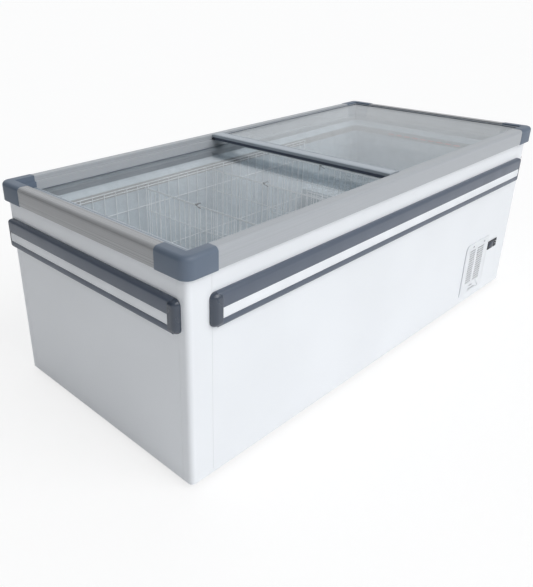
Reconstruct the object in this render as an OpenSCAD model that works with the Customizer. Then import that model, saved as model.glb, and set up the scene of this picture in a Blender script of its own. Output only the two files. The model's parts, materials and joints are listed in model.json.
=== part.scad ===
// Supermarket island freezer: an insulated tub on levelling feet, with a machine compartment
// at its right end, a rim with two lid tracks, and two sliding glass lids.
// X runs along the length, -Y is the front, Z is up from the floor. Millimetres.

/* [Cabinet] */
// Length of the painted casing
body_l = 1864; // [1500:1:2500]
// Width of the painted casing, front to back
body_w = 836; // [700:1:1000]
// Height of the rim's top above the floor
rim_top = 690; // [620:1:850]
// Gap between the casing and the floor
foot_gap = 15; // [14:1:30]
// Thickness of the casing sheet and of the liner
sheet = 1; // [0.6:0.1:1.4]
// Insulated wall, from the casing's outer face to the liner's inner face
wall = 59; // [50:1:75]
// Height of the liner's floor above the underside of the casing
floor_t = 90; // [70:1:120]
// Outer radius of the rounded corner posts
post_r = 14; // [8:1:24]
// Width of a left corner post on the long faces
post_arm_left = 80; // [40:1:100]
// Width of a right corner post on the long faces
post_arm_right = 70; // [40:1:100]
// Width of a corner post on the end faces
post_arm_end = 34; // [30:1:80]
// Open seam between a post and the panel beside it
seam = 0.6; // [0.3:0.1:1]

/* [Liner] */
// Radius of the liner's upright corners
liner_r = 30; // [10:1:60]
// Height of the liner's straight wall below the rim's top
shoulder_drop = 97; // [90:1:130]
// Height of the sloping shoulder above the straight wall
shoulder_h = 20; // [10:1:30]

/* [Machine compartment] */
// Inner length of the compartment along the casing
comp_l = 393; // [330:1:450]
// Inner height of the compartment above the base tray
comp_h = 288; // [275:1:320]
// Insulation between the compartment and the tub
comp_wall = 55; // [40:1:70]
// Turned-up edge of the base tray
tray_lip = 20; // [10:1:40]
// Thickness of the base tray
tray_t = 1.5; // [1:0.1:3]

/* [Rim] */
// How far the rim stands out from the casing
rim_overhang = 14; // [6:1:24]
// Height of the rim's outer face
rim_h = 57.5; // [48:0.5:80]
// Width of the rim's top
rim_w = 35.5; // [30:0.5:50]
// Radius of the rim's outer top edge
rim_r = 13; // [6:1:18]
// Width of each lid ledge
ledge_w = 8.5; // [6:0.5:12]
// Depth of the upper lid's ledge below the rim's top
upper_ledge = 17.3; // [15:0.1:22]
// Depth of the lower lid's ledge below the rim's top
lower_ledge = 54.3; // [50:0.1:60]
// Thickness under the lower ledge
ledge_t = 5; // [3:0.5:8]
// Wall of the hollow extrusion
rim_wall = 3; // [2:0.5:5]
// Length of a corner cap along the long sides
cap_arm_x = 103; // [60:1:140]
// Length of a corner cap along the ends
cap_arm_y = 112; // [60:1:140]
// How far a cap stands proud of the rim
cap_proud = 1; // [0:0.1:2]
// How far a corner cap reaches below the rim
cap_drop = 2; // [0:0.5:4]

/* [Lids] */
// Thickness of the lid glass
glass_t = 4; // [3:0.5:6]
// Height of the slim lid frame
frame_h = 13; // [11:1:16]
// Width of the slim lid frame
frame_w = 12; // [10:1:20]
// Width of a handle rail
handle_w = 58; // [40:1:80]
// Height of a handle rail
handle_h = 20; // [17:1:24]
// Free length at each end of a closed or open lid
lid_gap = 1; // [0.5:0.1:3]
// Gap between a lid and its tracks
lid_play = 0.3; // [0.2:0.1:0.6]
// Right end of the closed lower lid, from the middle of the casing
lower_end = 53; // [40:1:120]
// Left end of the closed upper lid, left of the middle of the casing
upper_end = 62; // [40:1:120]

/* [Bumpers] */
// Height of a bumper rail
bumper_h = 96; // [80:1:120]
// Height of a bumper's lower edge above the floor
bumper_z = 475; // [420:1:480]
// How far a bumper stands out from the casing
bumper_t = 15; // [10:1:20]
// Height of the white insert
insert_h = 30; // [20:1:40]
// Height of the rail below the insert
insert_low = 21; // [12:1:30]
// Distance from the bumper's capped end to the corner of the casing
bumper_gap_capped = 71; // [40:1:90]
// Distance from the bumper's plain end to the corner of the casing
bumper_gap_plain = 46; // [20:1:60]
// The same two distances on the end faces
bumper_end_gap = 8; // [5:1:40]
// Distance from the casing's corner to the capped end of an end rail
bumper_side_gap = 23; // [10:1:60]
// Length of a pill-shaped end cap
pill_l = 35; // [30:1:70]

/* [Front fittings] */
// Width of the vent grille
grille_w = 189; // [180:1:220]
// Height of the vent grille
grille_h = 224; // [200:1:240]
// Height of the grille's lower edge above the floor
grille_z = 48; // [42:1:60]
// Distance from the grille's left edge to the end of the casing
grille_from_end = 379; // [360:1:390]
// Thickness of the grille in front of the casing
grille_t = 4; // [3:0.5:6]
// Number of slots in each of the grille's two columns
slot_n = 14; // [6:1:16]
// Distance between slots
slot_pitch = 10.7; // [8:0.1:14]
// Height of a slot
slot_h = 4.6; // [3:0.1:6]
// Width of the controller's fascia
ctrl_w = 78; // [70:1:90]
// Height of the controller's fascia
ctrl_h = 35; // [30:1:45]
// Height of the controller's lower edge above the floor
ctrl_z = 202; // [180:1:220]
// Distance from the controller's left edge to the end of the casing
ctrl_from_end = 183; // [150:1:190]
// Depth of the controller's housing
ctrl_d = 58; // [40:1:70]
// Travel of a button
button_travel = 0.8; // [0.5:0.1:1.5]

/* [Grids and dividers] */
// Diameter of the grid wires
wire = 3; // [2:0.5:5]
// Distance between the upright wires of the wall grids
wall_pitch = 48; // [30:1:80]
// Distance between the upright wires of the dividers
divider_pitch = 26; // [20:1:60]
// Height of the grids' top wire above the liner's floor
grid_h = 481; // [400:1:490]
// Distance of a second rod below the top wire
rod_gap = 11; // [8:1:20]
// Distance from the tub's middle of divider 2
divider_2_x = -103; // [-200:1:0]
// Distance between dividers
divider_step = 335; // [250:1:360]
// How far a divider lifts
divider_lift = 30; // [10:1:40]

/* [Feet and drain] */
// Radius of a foot's threaded stud
stud_r = 5; // [4:0.5:8]
// Radius of a foot's pad
pad_r = 22; // [16:1:30]
// Distance from the feet to the casing's faces
foot_inset = 90; // [70:1:150]
// How far a foot screws down
foot_travel = 15; // [5:1:20]
// Outer radius of the drain spout
drain_r = 12; // [10:1:16]
// Running gap round a stud or a plug
fit_gap = 0.06; // [0.04:0.01:0.1]

/* [Hidden] */
$fn = 96;

eps = 0.01;
hx = body_l / 2;
hy = body_w / 2;
base_z = foot_gap;
tray_z = base_z + tray_t;
rim_x = hx + rim_overhang;
rim_y = hy + rim_overhang;
// u is measured inwards from the rim's outer face
upper_u = rim_w;
lower_u = upper_u + ledge_w;
throat_u = lower_u + ledge_w;
rim_under = rim_top - lower_ledge - ledge_t;
cap_r = post_r + rim_overhang;
skirt = rim_overhang - 0.5;
slot_w = sheet + 1;
slot_top = rim_h - 10;
panel_top = rim_top - slot_top - 0.5;

in_x = hx - wall;
in_y = hy - wall;
floor_z = base_z + floor_t;
wall_top = rim_top - shoulder_drop;
shoulder_top = wall_top + shoulder_h;
throat_x = rim_x - throat_u;
throat_y = rim_y - throat_u;

comp_x0 = hx - sheet - comp_l;
comp_top = tray_z + comp_h;
step_x = comp_x0 - comp_wall;
step_z = comp_top + comp_wall;

grille_x = hx - grille_from_end;
ctrl_x = hx - ctrl_from_end;

upper_top = rim_top - upper_ledge + lid_play + frame_h;
lower_top = rim_top - lower_ledge + lid_play + frame_h;
upper_x1 = rim_x - upper_u - lid_gap;
lower_x0 = -(rim_x - lower_u - lid_gap);
upper_hy = rim_y - upper_u - lid_gap;
lower_hy = rim_y - lower_u - lid_gap;
lid_lip = 1.5;
glass_rebate = 6;

// Colours
white = "#e9edf2";
grey = "#b2b8be";
blue_grey = "#5b6879";
black = "#26282b";
steel = "#9da2a6";
copper = "#b87650";

module rounded_rect(l, w, r) {
    square([l, w - 2 * r], center = true);
    square([l - 2 * r, w], center = true);
    for (sx = [-1, 1], sy = [-1, 1])
        translate([sx * (l / 2 - r), sy * (w / 2 - r)]) circle(r);
}

module block(x, y, z) {
    translate([x[0], y[0], z[0]]) cube([x[1] - x[0], y[1] - y[0], z[1] - z[0]]);
}

// ---------------------------------------------------------------- casing

// Upright sheet between two corner posts, on the face at -Y
module long_panel() {
    block([-hx + post_arm_left + seam, hx - post_arm_right - seam], [-hy, -hy + sheet], [base_z, panel_top]);
}

module end_panel() {
    block([-hx, -hx + sheet], [-hy + post_arm_end + seam, hy - post_arm_end - seam], [base_z, panel_top]);
}

module front_panel() color(white) difference() {
    long_panel();
    block([grille_x + grille_lap, grille_x + grille_w - grille_lap], [-hy - 1, -hy + sheet + 1],
        [grille_z + grille_lap, grille_z + grille_h - grille_lap]);
    block([ctrl_x + ctrl_lap, ctrl_x + ctrl_w - ctrl_lap], [-hy - 1, -hy + sheet + 1],
        [ctrl_z + ctrl_lap, ctrl_z + ctrl_h - ctrl_lap]);
    for (x = grille_screw_x()) screw_hole([x, -hy, grille_screw_z]);
}

// How far a grille and the controller's fascia cover the casing round their openings
grille_lap = 8;
ctrl_lap = 3;
gland_r = 9;
gland_x = hx - post_arm_right - 24;
// Distance from the rear grille to the gland's middle
rear_to_gland = 10;
rear_x = comp_x0 + 30;
rear_w = gland_x - rear_to_gland - rear_x;
rear_h = 160;
rear_z = tray_z + 50;
rear_t = 3;
gland_z = tray_z + 40;
// Radius of the supply cable's way through the gland
cable_r = 4.2;

module back_panel() color(white) difference() {
    mirror([0, 1, 0]) long_panel();
    block([rear_x + grille_lap, rear_x + rear_w - grille_lap], [hy - sheet - 1, hy + 1],
        [rear_z + grille_lap, rear_z + rear_h - grille_lap]);
    translate([gland_x, hy + 1, gland_z]) rotate([90, 0, 0]) cylinder(h = sheet + 2, r = gland_r + seat_gap);
    for (x = rear_screw_x(), z = rear_screw_z()) screw_hole([x, hy - sheet, z]);
}

module left_panel() color(white) end_panel();
module right_panel() color(white) mirror([1, 0, 0]) end_panel();

// One corner post, its corner at the origin and its arms along +X and +Y
module post(arm) {
    linear_extrude(panel_top - base_z) {
        translate([post_r, 0]) square([arm - post_r, sheet]);
        translate([0, post_r]) square([sheet, post_arm_end - post_r]);
        translate([post_r, post_r]) intersection() {
            difference() {
                circle(post_r);
                circle(post_r - sheet);
            }
            translate([-post_r, -post_r]) square(post_r);
        }
    }
}

module corner_posts() color(white) for (sy = [0, 1]) mirror([0, sy, 0]) {
    translate([-hx, -hy, base_z]) post(post_arm_left);
    translate([hx, -hy, base_z]) mirror([1, 0, 0]) post(post_arm_right);
}

foot_x = hx - foot_inset;
foot_y = hy - foot_inset;
boss_r = 10;
boss_h = 32;
// The tray's turned-up edges stop short of the corners
lip_cut = 60;
tray_gap = 0.3;
// Gap round a piece that is held in a hole
seat_gap = 0.1;
tray_edge = sheet + tray_gap + tray_t;
function foot_places() = [for (sx = [-1, 1], sy = [-1, 1]) [sx * foot_x, sy * foot_y]];
drain_x = -in_x + 130;
drain_y = -in_y + 90;
// The spout is thicker where it runs through the floor, so that a hose stops at the tray
spout_r = drain_r + 1.5;

module base_tray() color(steel) difference() {
    union() {
        translate([0, 0, base_z]) linear_extrude(tray_t)
            rounded_rect(body_l - 2 * (sheet + tray_gap), body_w - 2 * (sheet + tray_gap), post_r - sheet);
        for (s = [0, 1]) {
            mirror([0, s, 0]) block([-hx + lip_cut, hx - lip_cut], [-hy + sheet + tray_gap, -hy + tray_edge],
                [base_z, base_z + tray_lip]);
            mirror([s, 0, 0]) block([-hx + sheet + tray_gap, -hx + tray_edge], [-hy + lip_cut, hy - lip_cut],
                [base_z, base_z + tray_lip]);
        }
        for (p = foot_places()) translate([p[0], p[1], base_z]) cylinder(h = boss_h, r = boss_r);
    }
    for (p = foot_places()) translate([p[0], p[1], base_z - 1])
        cylinder(h = boss_h + 2, r = stud_r + fit_gap);
    translate([drain_x, drain_y, base_z - 1]) cylinder(h = tray_t + 2, r = spout_r + seat_gap);
}

// ---------------------------------------------------------------- tub

module tub_outline(grow) rounded_rect(2 * (in_x + grow), 2 * (in_y + grow), liner_r + grow);

// The room inside the liner, grown by one sheet for the liner's outer face
module tub_room(grow) difference() {
    union() {
        translate([0, 0, floor_z - grow]) linear_extrude(wall_top - floor_z + grow) tub_outline(grow);
        hull() {
            translate([0, 0, wall_top - eps]) linear_extrude(eps) tub_outline(grow, $fn = 32);
            translate([0, 0, shoulder_top]) linear_extrude(eps)
                rounded_rect(2 * (throat_x + grow), 2 * (throat_y + grow), 8 + grow, $fn = 32);
        }
    }
    block([step_x + grow, hx], [-hy, hy], [base_z, step_z - grow]);
}

module inner_liner() color("#dfe6ec") difference() {
    tub_room(sheet);
    difference() {
        tub_room(0);
        block([step_x, hx], [-hy, hy], [base_z, step_z]);
    }
    translate([0, 0, shoulder_top]) linear_extrude(1) square([2 * hx, 2 * hy], center = true);
    translate([drain_x, drain_y, floor_z - sheet - 1]) cylinder(h = sheet + 2, r = spout_r + seat_gap);
}

tube_r = 4;
loop_pitch = 48;
function loop_heights() = [for (z = floor_z + 40; z < wall_top - 30; z = z + loop_pitch) z];
tube_gap = 0.1;
step_margin = 12;
// A loop below the step is open at the step, one above it goes right round
function above_step(z) = z >= step_z + step_margin;
tube_off = sheet + tube_r + tube_gap;
tube_x = in_x + tube_off;
tube_y = in_y + tube_off;
bend_r = liner_r + tube_off;
low_loop_x = step_x - 20;

module tube_elbow() rotate_extrude(angle = 90) translate([bend_r, 0]) circle(tube_r);

module tube_loop(z) translate([0, 0, z]) {
    straight_x = tube_x - bend_r;
    straight_y = tube_y - bend_r;
    for (sy = [-1, 1]) translate([-straight_x, sy * tube_y, 0]) rotate([0, 90, 0])
        cylinder(h = (above_step(z) ? straight_x : low_loop_x) + straight_x, r = tube_r);
    for (sx = above_step(z) ? [0, 1] : [0]) mirror([sx, 0, 0]) {
        translate([-tube_x, straight_y, 0]) rotate([90, 0, 0]) cylinder(h = 2 * straight_y, r = tube_r);
        for (sy = [0, 1]) mirror([0, sy, 0]) translate([-straight_x, straight_y, 0]) rotate([0, 0, 90])
            tube_elbow();
    }
}

module evaporator_tube() color(copper) for (z = loop_heights()) tube_loop(z);

// Room for one loop in the foam, against the liner
module loop_channel(z) translate([0, 0, z - tube_r - channel_gap]) linear_extrude(2 * (tube_r + channel_gap))
    intersection() {
        rounded_rect(2 * (tube_x + tube_r + channel_gap), 2 * (tube_y + tube_r + channel_gap),
            bend_r + tube_r + channel_gap);
        translate([-hx, -hy]) square([above_step(z) ? body_l : hx + low_loop_x + 2, body_w]);
    }

channel_gap = 0.3;
joint = 0.2;
// Joints that part the foam into plain blocks: floor, walls, corners, step and strips round the collar
module foam_joints() {
    foot = floor_z - sheet;
    roof = step_z - sheet;
    block([-hx, hx], [-hy, hy], [foot - joint, foot]);
    block([-hx, hx], [-hy, hy], [shoulder_top - joint, shoulder_top]);
    block([comp_x0, hx], [-hy, hy], [roof - joint, roof]);
    block([comp_x0 - joint, comp_x0], [-hy, hy], [foot, shoulder_top]);
    block([-in_x + liner_r, -in_x + liner_r + joint], [-hy, hy], [foot, shoulder_top]);
    block([in_x - liner_r - joint, in_x - liner_r], [-hy, hy], [roof, shoulder_top]);
    for (s = [0, 1]) mirror([0, s, 0]) {
        block([-hx, step_x], [in_y - liner_r - joint, in_y - liner_r], [foot, shoulder_top]);
        block([comp_x0, hx], [in_y - liner_r - joint, in_y - liner_r], [roof, shoulder_top]);
        block([step_x, comp_x0], [in_y + sheet - joint, in_y + sheet], [foot, step_z]);
    }
    for (sx = [-1, 1], sy = [-1, 1])
        translate([sx * (in_x - liner_r), sy * (in_y - liner_r), sx > 0 ? roof : foot])
            rotate([0, 0, atan2(sy, sx)]) translate([0, -joint / 2, 0]) cube([hy, joint, rim_top]);
}

module foam_insulation() color("#e8dfa8") difference() {
    translate([0, 0, tray_z]) linear_extrude(rim_under - tray_z)
        rounded_rect(body_l - 2 * sheet, body_w - 2 * sheet, post_r - sheet);
    tub_room(sheet);
    translate([0, 0, shoulder_top - eps]) linear_extrude(rim_top)
        rounded_rect(2 * (throat_x + collar_t), 2 * (throat_y + collar_t), 8 + collar_t);
    block([comp_x0, hx], [-hy, hy], [base_z, comp_top]);
    for (z = loop_heights()) loop_channel(z);
    for (s = [0, 1]) {
        mirror([0, s, 0]) block([-hx, hx], [-hy, -hy + tray_edge + tray_gap],
            [base_z, base_z + tray_lip + tray_gap]);
        mirror([s, 0, 0]) block([-hx, -hx + tray_edge + tray_gap], [-hy, hy],
            [base_z, base_z + tray_lip + tray_gap]);
    }
    for (p = foot_places()) translate([p[0], p[1], base_z])
        cylinder(h = boss_h + tray_gap, r = boss_r + tray_gap);
    translate([drain_x, drain_y, base_z]) cylinder(h = floor_t, r = spout_r + seat_gap);
    foam_joints();
}

collar_t = 3;
module throat_collar() color("#56627a") translate([0, 0, shoulder_top])
    linear_extrude(rim_under - shoulder_top) difference() {
        rounded_rect(2 * (throat_x + collar_t), 2 * (throat_y + collar_t), 8 + collar_t);
        rounded_rect(2 * throat_x, 2 * throat_y, 8);
    }

// ---------------------------------------------------------------- rim

arc_steps = 10;
// Outline of the rim: X is u, Y is height above the rim's top
function rim_points(p, drop = 0) = concat(
    [[skirt, -rim_h - drop], [1.5 - p, -rim_h - drop], [-p, -rim_h - drop + 1.5]],
    [for (i = [0:arc_steps]) let (a = 180 - 90 * i / arc_steps)
        [rim_r - p + rim_r * cos(a), p - rim_r + rim_r * sin(a)]],
    [[rim_w - 1.5, p], [rim_w, p - 1.5], [rim_w, -upper_ledge], [lower_u, -upper_ledge],
     [lower_u, -lower_ledge], [throat_u, -lower_ledge], [throat_u, -lower_ledge - ledge_t],
     [skirt + slot_w, -lower_ledge - ledge_t], [skirt + slot_w, -slot_top], [skirt, -slot_top]]
);

module rim_profile() difference() {
    polygon(rim_points(0));
    translate([rim_wall, -slot_top + rim_wall]) square([rim_w - 2 * rim_wall, slot_top - rim_r - rim_wall]);
    translate([skirt + slot_w + rim_wall, -lower_ledge + rim_wall - ledge_t])
        square([lower_u - skirt - slot_w - 2 * rim_wall, lower_ledge + ledge_t - slot_top - rim_wall]);
}

// A rim length along +X with its outer face at y = 0 and its top at z = 0
module rim_length(l) rotate([90, 0, 90]) linear_extrude(l) rim_profile();

module rim_front() color(grey) translate([-rim_x + cap_arm_x, -rim_y, rim_top])
    rim_length(2 * (rim_x - cap_arm_x));
module rim_back() color(grey) mirror([0, 1, 0]) translate([-rim_x + cap_arm_x, -rim_y, rim_top])
    rim_length(2 * (rim_x - cap_arm_x));
module rim_left() color(grey) translate([-rim_x, rim_y - cap_arm_y, rim_top]) rotate([0, 0, -90])
    rim_length(2 * (rim_y - cap_arm_y));
module rim_right() color(grey) translate([rim_x, -rim_y + cap_arm_y, rim_top]) rotate([0, 0, 90])
    rim_length(2 * (rim_y - cap_arm_y));

// Corner cap for the corner at -X, -Y, its outer corner at the origin and its top at z = 0
module corner_cap() {
    translate([cap_r, 0, 0]) rotate([90, 0, 90]) linear_extrude(cap_arm_x - cap_r)
        polygon(rim_points(cap_proud, cap_drop));
    mirror([1, -1, 0]) translate([cap_r, 0, 0]) rotate([90, 0, 90]) linear_extrude(cap_arm_y - cap_r)
        polygon(rim_points(cap_proud, cap_drop));
    translate([cap_r, cap_r, 0]) rotate([0, 0, 180]) rotate_extrude(angle = 90) mirror([1, 0])
        translate([-cap_r, 0]) intersection() {
            polygon(rim_points(cap_proud, cap_drop));
            translate([-5, -100]) square([5 + cap_r, 200]);
        }
}

module cap_front_left() color(blue_grey) translate([-rim_x, -rim_y, rim_top]) corner_cap();
module cap_front_right() color(blue_grey) mirror([1, 0, 0]) translate([-rim_x, -rim_y, rim_top]) corner_cap();
module cap_back_left() color(blue_grey) mirror([0, 1, 0]) translate([-rim_x, -rim_y, rim_top]) corner_cap();
module cap_back_right() color(blue_grey) mirror([1, 0, 0]) mirror([0, 1, 0])
    translate([-rim_x, -rim_y, rim_top]) corner_cap();

// ---------------------------------------------------------------- bumpers

// Radii of the rail's lower and upper outer edges
rail_low_r = 8;
rail_top_r = 12;
// Depth of the channel that holds the insert, and how far the insert lies below the rail's face
channel_d = 6;
insert_sunk = 0.5;
// Outline of a bumper rail: X outwards from the casing, Y up
function bumper_points() = concat(
    [[0, 0]],
    [for (i = [0:6]) let (a = -90 + 15 * i)
        [bumper_t - rail_low_r + rail_low_r * cos(a), rail_low_r + rail_low_r * sin(a)]],
    [[bumper_t, insert_low], [bumper_t - channel_d, insert_low],
     [bumper_t - channel_d, insert_low + insert_h], [bumper_t, insert_low + insert_h]],
    [for (i = [0:9]) let (a = 10 * i)
        [bumper_t - rail_top_r + rail_top_r * cos(a), bumper_h - rail_top_r + rail_top_r * sin(a)]],
    [[0, bumper_h]]
);

// Rail along +X that stands out towards -Y
module bumper_rail(l) rotate([90, 0, 90]) linear_extrude(l) mirror([1, 0]) polygon(bumper_points());

// Pill-shaped end: the rail's outline with round upper and lower corners
pill_r = 17;
pill_proud = 3;
module pill() rotate([90, 0, 0]) linear_extrude(bumper_t + pill_proud) {
    translate([pill_r, 0]) square([pill_l - pill_r, bumper_h]);
    translate([0, pill_r]) square([pill_l, bumper_h - 2 * pill_r]);
    for (z = [pill_r, bumper_h - pill_r]) translate([pill_r, z]) circle(pill_r);
}

front_x0 = -hx + bumper_gap_capped;
front_x1 = hx - bumper_gap_plain;
side_l = body_w - bumper_side_gap - bumper_end_gap;

module place_front() translate([front_x0, -hy, bumper_z]) children();
module place_back() rotate([0, 0, 180]) place_front() children();
// The left rail's own +X runs from the front corner to the back one
module place_left() translate([-hx, -hy + bumper_side_gap, bumper_z]) rotate([0, 0, 90])
    mirror([0, 1, 0]) children();
module place_right() rotate([0, 0, 180]) place_left() children();

plate_t = 5;
module rail_between(l) translate([pill_l, 0, 0]) bumper_rail(l - pill_l - plate_t);
module bumper_front() color(blue_grey) place_front() rail_between(front_x1 - front_x0);
module bumper_back() color(blue_grey) place_back() rail_between(front_x1 - front_x0);
module bumper_left() color(blue_grey) place_left() rail_between(side_l);
module bumper_right() color(blue_grey) place_right() rail_between(side_l);

insert_gap = 0.3;
module insert_strip(l) translate([pill_l, -bumper_t + insert_sunk, insert_low + insert_gap])
    cube([l - pill_l - plate_t, channel_d - insert_sunk, insert_h - 2 * insert_gap]);

module bumper_inserts() color(white) {
    place_front() insert_strip(front_x1 - front_x0);
    place_back() insert_strip(front_x1 - front_x0);
    place_left() insert_strip(side_l);
    place_right() insert_strip(side_l);
}

// Both ends of a rail: a pill at its start and a plain plate at its other end
module rail_ends(l) {
    pill();
    translate([l - plate_t, 0, 0]) rotate([90, 0, 90]) linear_extrude(plate_t) mirror([1, 0]) difference() {
        square([bumper_t, bumper_h]);
        translate([bumper_t - rail_low_r, rail_low_r]) difference() {
            translate([0, -rail_low_r - 1]) square(rail_low_r + 1);
            circle(rail_low_r);
        }
        translate([bumper_t - rail_top_r, bumper_h - rail_top_r]) difference() {
            square(rail_top_r + 1);
            circle(rail_top_r);
        }
    }
}

module bumper_end_caps() color("#4a5565") {
    place_front() rail_ends(front_x1 - front_x0);
    place_back() rail_ends(front_x1 - front_x0);
    place_left() rail_ends(side_l);
    place_right() rail_ends(side_l);
}

// ---------------------------------------------------------------- grilles and screws

screw_r = 2;
screw_head = 4;
screw_inset = 14;
grille_screw_z = grille_z + grille_h - screw_inset;
function grille_screw_x() = [grille_x + 56, grille_x + 149];
function rear_screw_x() = [rear_x + screw_inset, rear_x + rear_w - screw_inset];
function rear_screw_z() = [rear_z + screw_inset, rear_z + rear_h - screw_inset];

module screw_hole(p) translate(p) rotate([90, 0, 0]) cylinder(h = 40, r = screw_r + seat_gap, center = true);

slot_top_z = grille_h - 30;
// Left edge and width of each slot column, from the grille's lower left corner
slot_columns = [[31, 48], [95, 56]];
// Left edge, height and width of the two single slots under the columns
low_slots = [[71, 28, 31], [68, 12, 60]];
grille_r = 26;

// Outline of the grille with its round upper left corner
module grille_outline() {
    difference() {
        square([grille_w, grille_h]);
        translate([0, grille_h - grille_r]) square(grille_r);
    }
    translate([grille_r, grille_h - grille_r]) circle(grille_r);
}

module vent_grille() color(white) difference() {
    translate([grille_x, -hy, grille_z]) rotate([90, 0, 0]) linear_extrude(grille_t) difference() {
        grille_outline();
        for (c = slot_columns, i = [0:slot_n - 1])
            translate([c[0], slot_top_z - slot_h - i * slot_pitch]) square([c[1], slot_h]);
        for (b = low_slots) translate([b[0], b[1]]) square([b[2], slot_h]);
    }
    for (x = grille_screw_x()) screw_hole([x, -hy, grille_screw_z]);
}

rear_slots = 10;
rear_pitch = 11;
rear_margin = 28;
rear_rib = 16;
rear_slot = [(rear_w - 2 * rear_margin - rear_rib) / 2, 5];
module rear_grille() color(white) difference() {
    translate([rear_x, hy + rear_t, rear_z]) rotate([90, 0, 0]) linear_extrude(rear_t) difference() {
        square([rear_w, rear_h]);
        for (i = [0:rear_slots - 1], x = [rear_margin, rear_margin + rear_slot[0] + rear_rib])
            translate([x, 26 + i * rear_pitch]) square(rear_slot);
    }
    for (x = rear_screw_x(), z = rear_screw_z()) screw_hole([x, hy - sheet, z]);
}

screw_l = 10;
module screw() {
    cylinder(h = 1.6, r1 = screw_head, r2 = screw_head * 0.7);
    translate([0, 0, -screw_l]) cylinder(h = screw_l, r = screw_r);
}

module screws() color(steel) {
    for (x = grille_screw_x()) translate([x, -hy - grille_t, grille_screw_z]) rotate([90, 0, 0]) screw();
    for (x = rear_screw_x(), z = rear_screw_z()) translate([x, hy + rear_t, z]) rotate([-90, 0, 0]) screw();
}

// ---------------------------------------------------------------- controller

fascia_t = 3;
window = [[9, 52], [6, 29]];
// Width and height of a key, and how far it stands out of the fascia
button = [7, 3.2];
button_proud = 0.9;
button_gap = 0.3;
// A key ends short of the casing even when it is pressed
button_l = button_proud + fascia_t - button_travel - 0.5;
button_set_at = [42, 2.2];
button_up_at = [64, 22];
button_down_at = [64, 12];
window_gap = 0.1;
window_t = 1.4;
ctrl_gap = 0.5;

module place_ctrl() translate([ctrl_x, -hy, ctrl_z]) children();

module controller_housing() color(black) place_ctrl() difference() {
    union() {
        translate([0, -fascia_t, 0]) cube([ctrl_w, fascia_t, ctrl_h]);
        translate([ctrl_lap + ctrl_gap, 0, ctrl_lap + ctrl_gap])
            cube([ctrl_w - 2 * (ctrl_lap + ctrl_gap), ctrl_d, ctrl_h - 2 * (ctrl_lap + ctrl_gap)]);
    }
    block([window[0][0], window[0][1]], [-fascia_t - 1, -fascia_t + window_t + window_gap],
        [window[1][0], window[1][1]]);
    for (at = [button_set_at, button_up_at, button_down_at])
        translate([at[0] - button_gap, -fascia_t - 1, at[1] - button_gap])
            cube([button[0] + 2 * button_gap, fascia_t + 1 + button_travel, button[1] + 2 * button_gap]);
}

module controller_window() color("#39465a") place_ctrl()
    block([window[0][0] + window_gap, window[0][1] - window_gap], [-fascia_t, -fascia_t + window_t],
        [window[1][0] + window_gap, window[1][1] - window_gap]);

module button_key(at) color("#c9ced4") place_ctrl() translate([at[0], -fascia_t - button_proud, at[1]])
    cube([button[0], button_l, button[1]]);
module button_set() button_key(button_set_at);
module button_up() button_key(button_up_at);
module button_down() button_key(button_down_at);

// ---------------------------------------------------------------- refrigeration

comp_cx = comp_x0 + 205;
comp_cy = 210;
comp_r = 84;
comp_z = tray_z + 22;
shell_h = 175;
grommet_d = 82;
grommet_r = 8;
plate_half = 100;
mount_t = 4.2;
// Radii of the shell's lower and upper edges
belly_r = 30;
dome_r = 50;
// Round shell on a square mounting plate
module compressor() color(black) translate([comp_cx, comp_cy, comp_z]) {
    rotate_extrude() polygon(concat([[0, mount_t - 0.2]],
        [for (i = [0:9]) let (a = -80 + 80 * i / 9)
            [comp_r - belly_r + belly_r * cos(a), mount_t - 0.2 + belly_r + belly_r * sin(a)]],
        [for (i = [0:9]) let (a = 85 * i / 9)
            [comp_r - dome_r + dome_r * cos(a), shell_h - dome_r + dome_r * sin(a)]],
        [[0, shell_h]]));
    difference() {
        translate([-plate_half, -plate_half, 0]) cube([2 * plate_half, 2 * plate_half, mount_t]);
        for (sx = [-1, 1], sy = [-1, 1]) translate([sx * grommet_d, sy * grommet_d, -1])
            cylinder(h = mount_t + 2, r = grommet_r);
    }
}

module compressor_grommets() color(black) for (sx = [-1, 1], sy = [-1, 1])
    translate([comp_cx + sx * grommet_d, comp_cy + sy * grommet_d, tray_z]) {
        cylinder(h = comp_z - tray_z, r = grommet_r + 5);
        translate([0, 0, comp_z - tray_z]) cylinder(h = mount_t + 1.8, r = grommet_r - seat_gap);
    }

terminal = [32, 70, 62];
module terminal_box() color("#3a3d40")
    translate([comp_cx + comp_r + 1, comp_cy - terminal[1] / 2, comp_z + 60]) cube(terminal);

cond_x = comp_x0 + 24;
// Distance from the condenser to the controller's housing
cond_to_ctrl = 21;
cond_l = ctrl_x - cond_to_ctrl - cond_x;
cond_y = -hy + 22;
cond_d = 62;
cond_z = tray_z + 22;
cond_h = 216;
bend_n = 8;
bend_pitch = 24;
fin_pitch = 10;
fin_gap = 5;
// Finned block: a core with grooves between its fins, and the tubes' return bends
module condenser() color(steel) {
    difference() {
        block([cond_x, cond_x + cond_l], [cond_y, cond_y + cond_d], [cond_z, cond_z + cond_h]);
        for (x = [8:fin_pitch:cond_l - fin_pitch]) block([cond_x + x, cond_x + x + fin_gap],
            [cond_y - 1, cond_y + 9], [cond_z + 6, cond_z + cond_h - 6]);
    }
    for (i = [0:bend_n - 1]) translate([cond_x + cond_l, cond_y + 16, cond_z + 22 + i * bend_pitch])
        rotate([0, 0, 90]) rotate([90, 0, 90]) rotate_extrude(angle = 180) translate([12, 0]) circle(tube_r);
}

shroud_back = 6;
fan_y = cond_y + cond_d + shroud_back;
fan_cx = cond_x + cond_l / 2;
fan_cz = cond_z + cond_h / 2;
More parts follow.
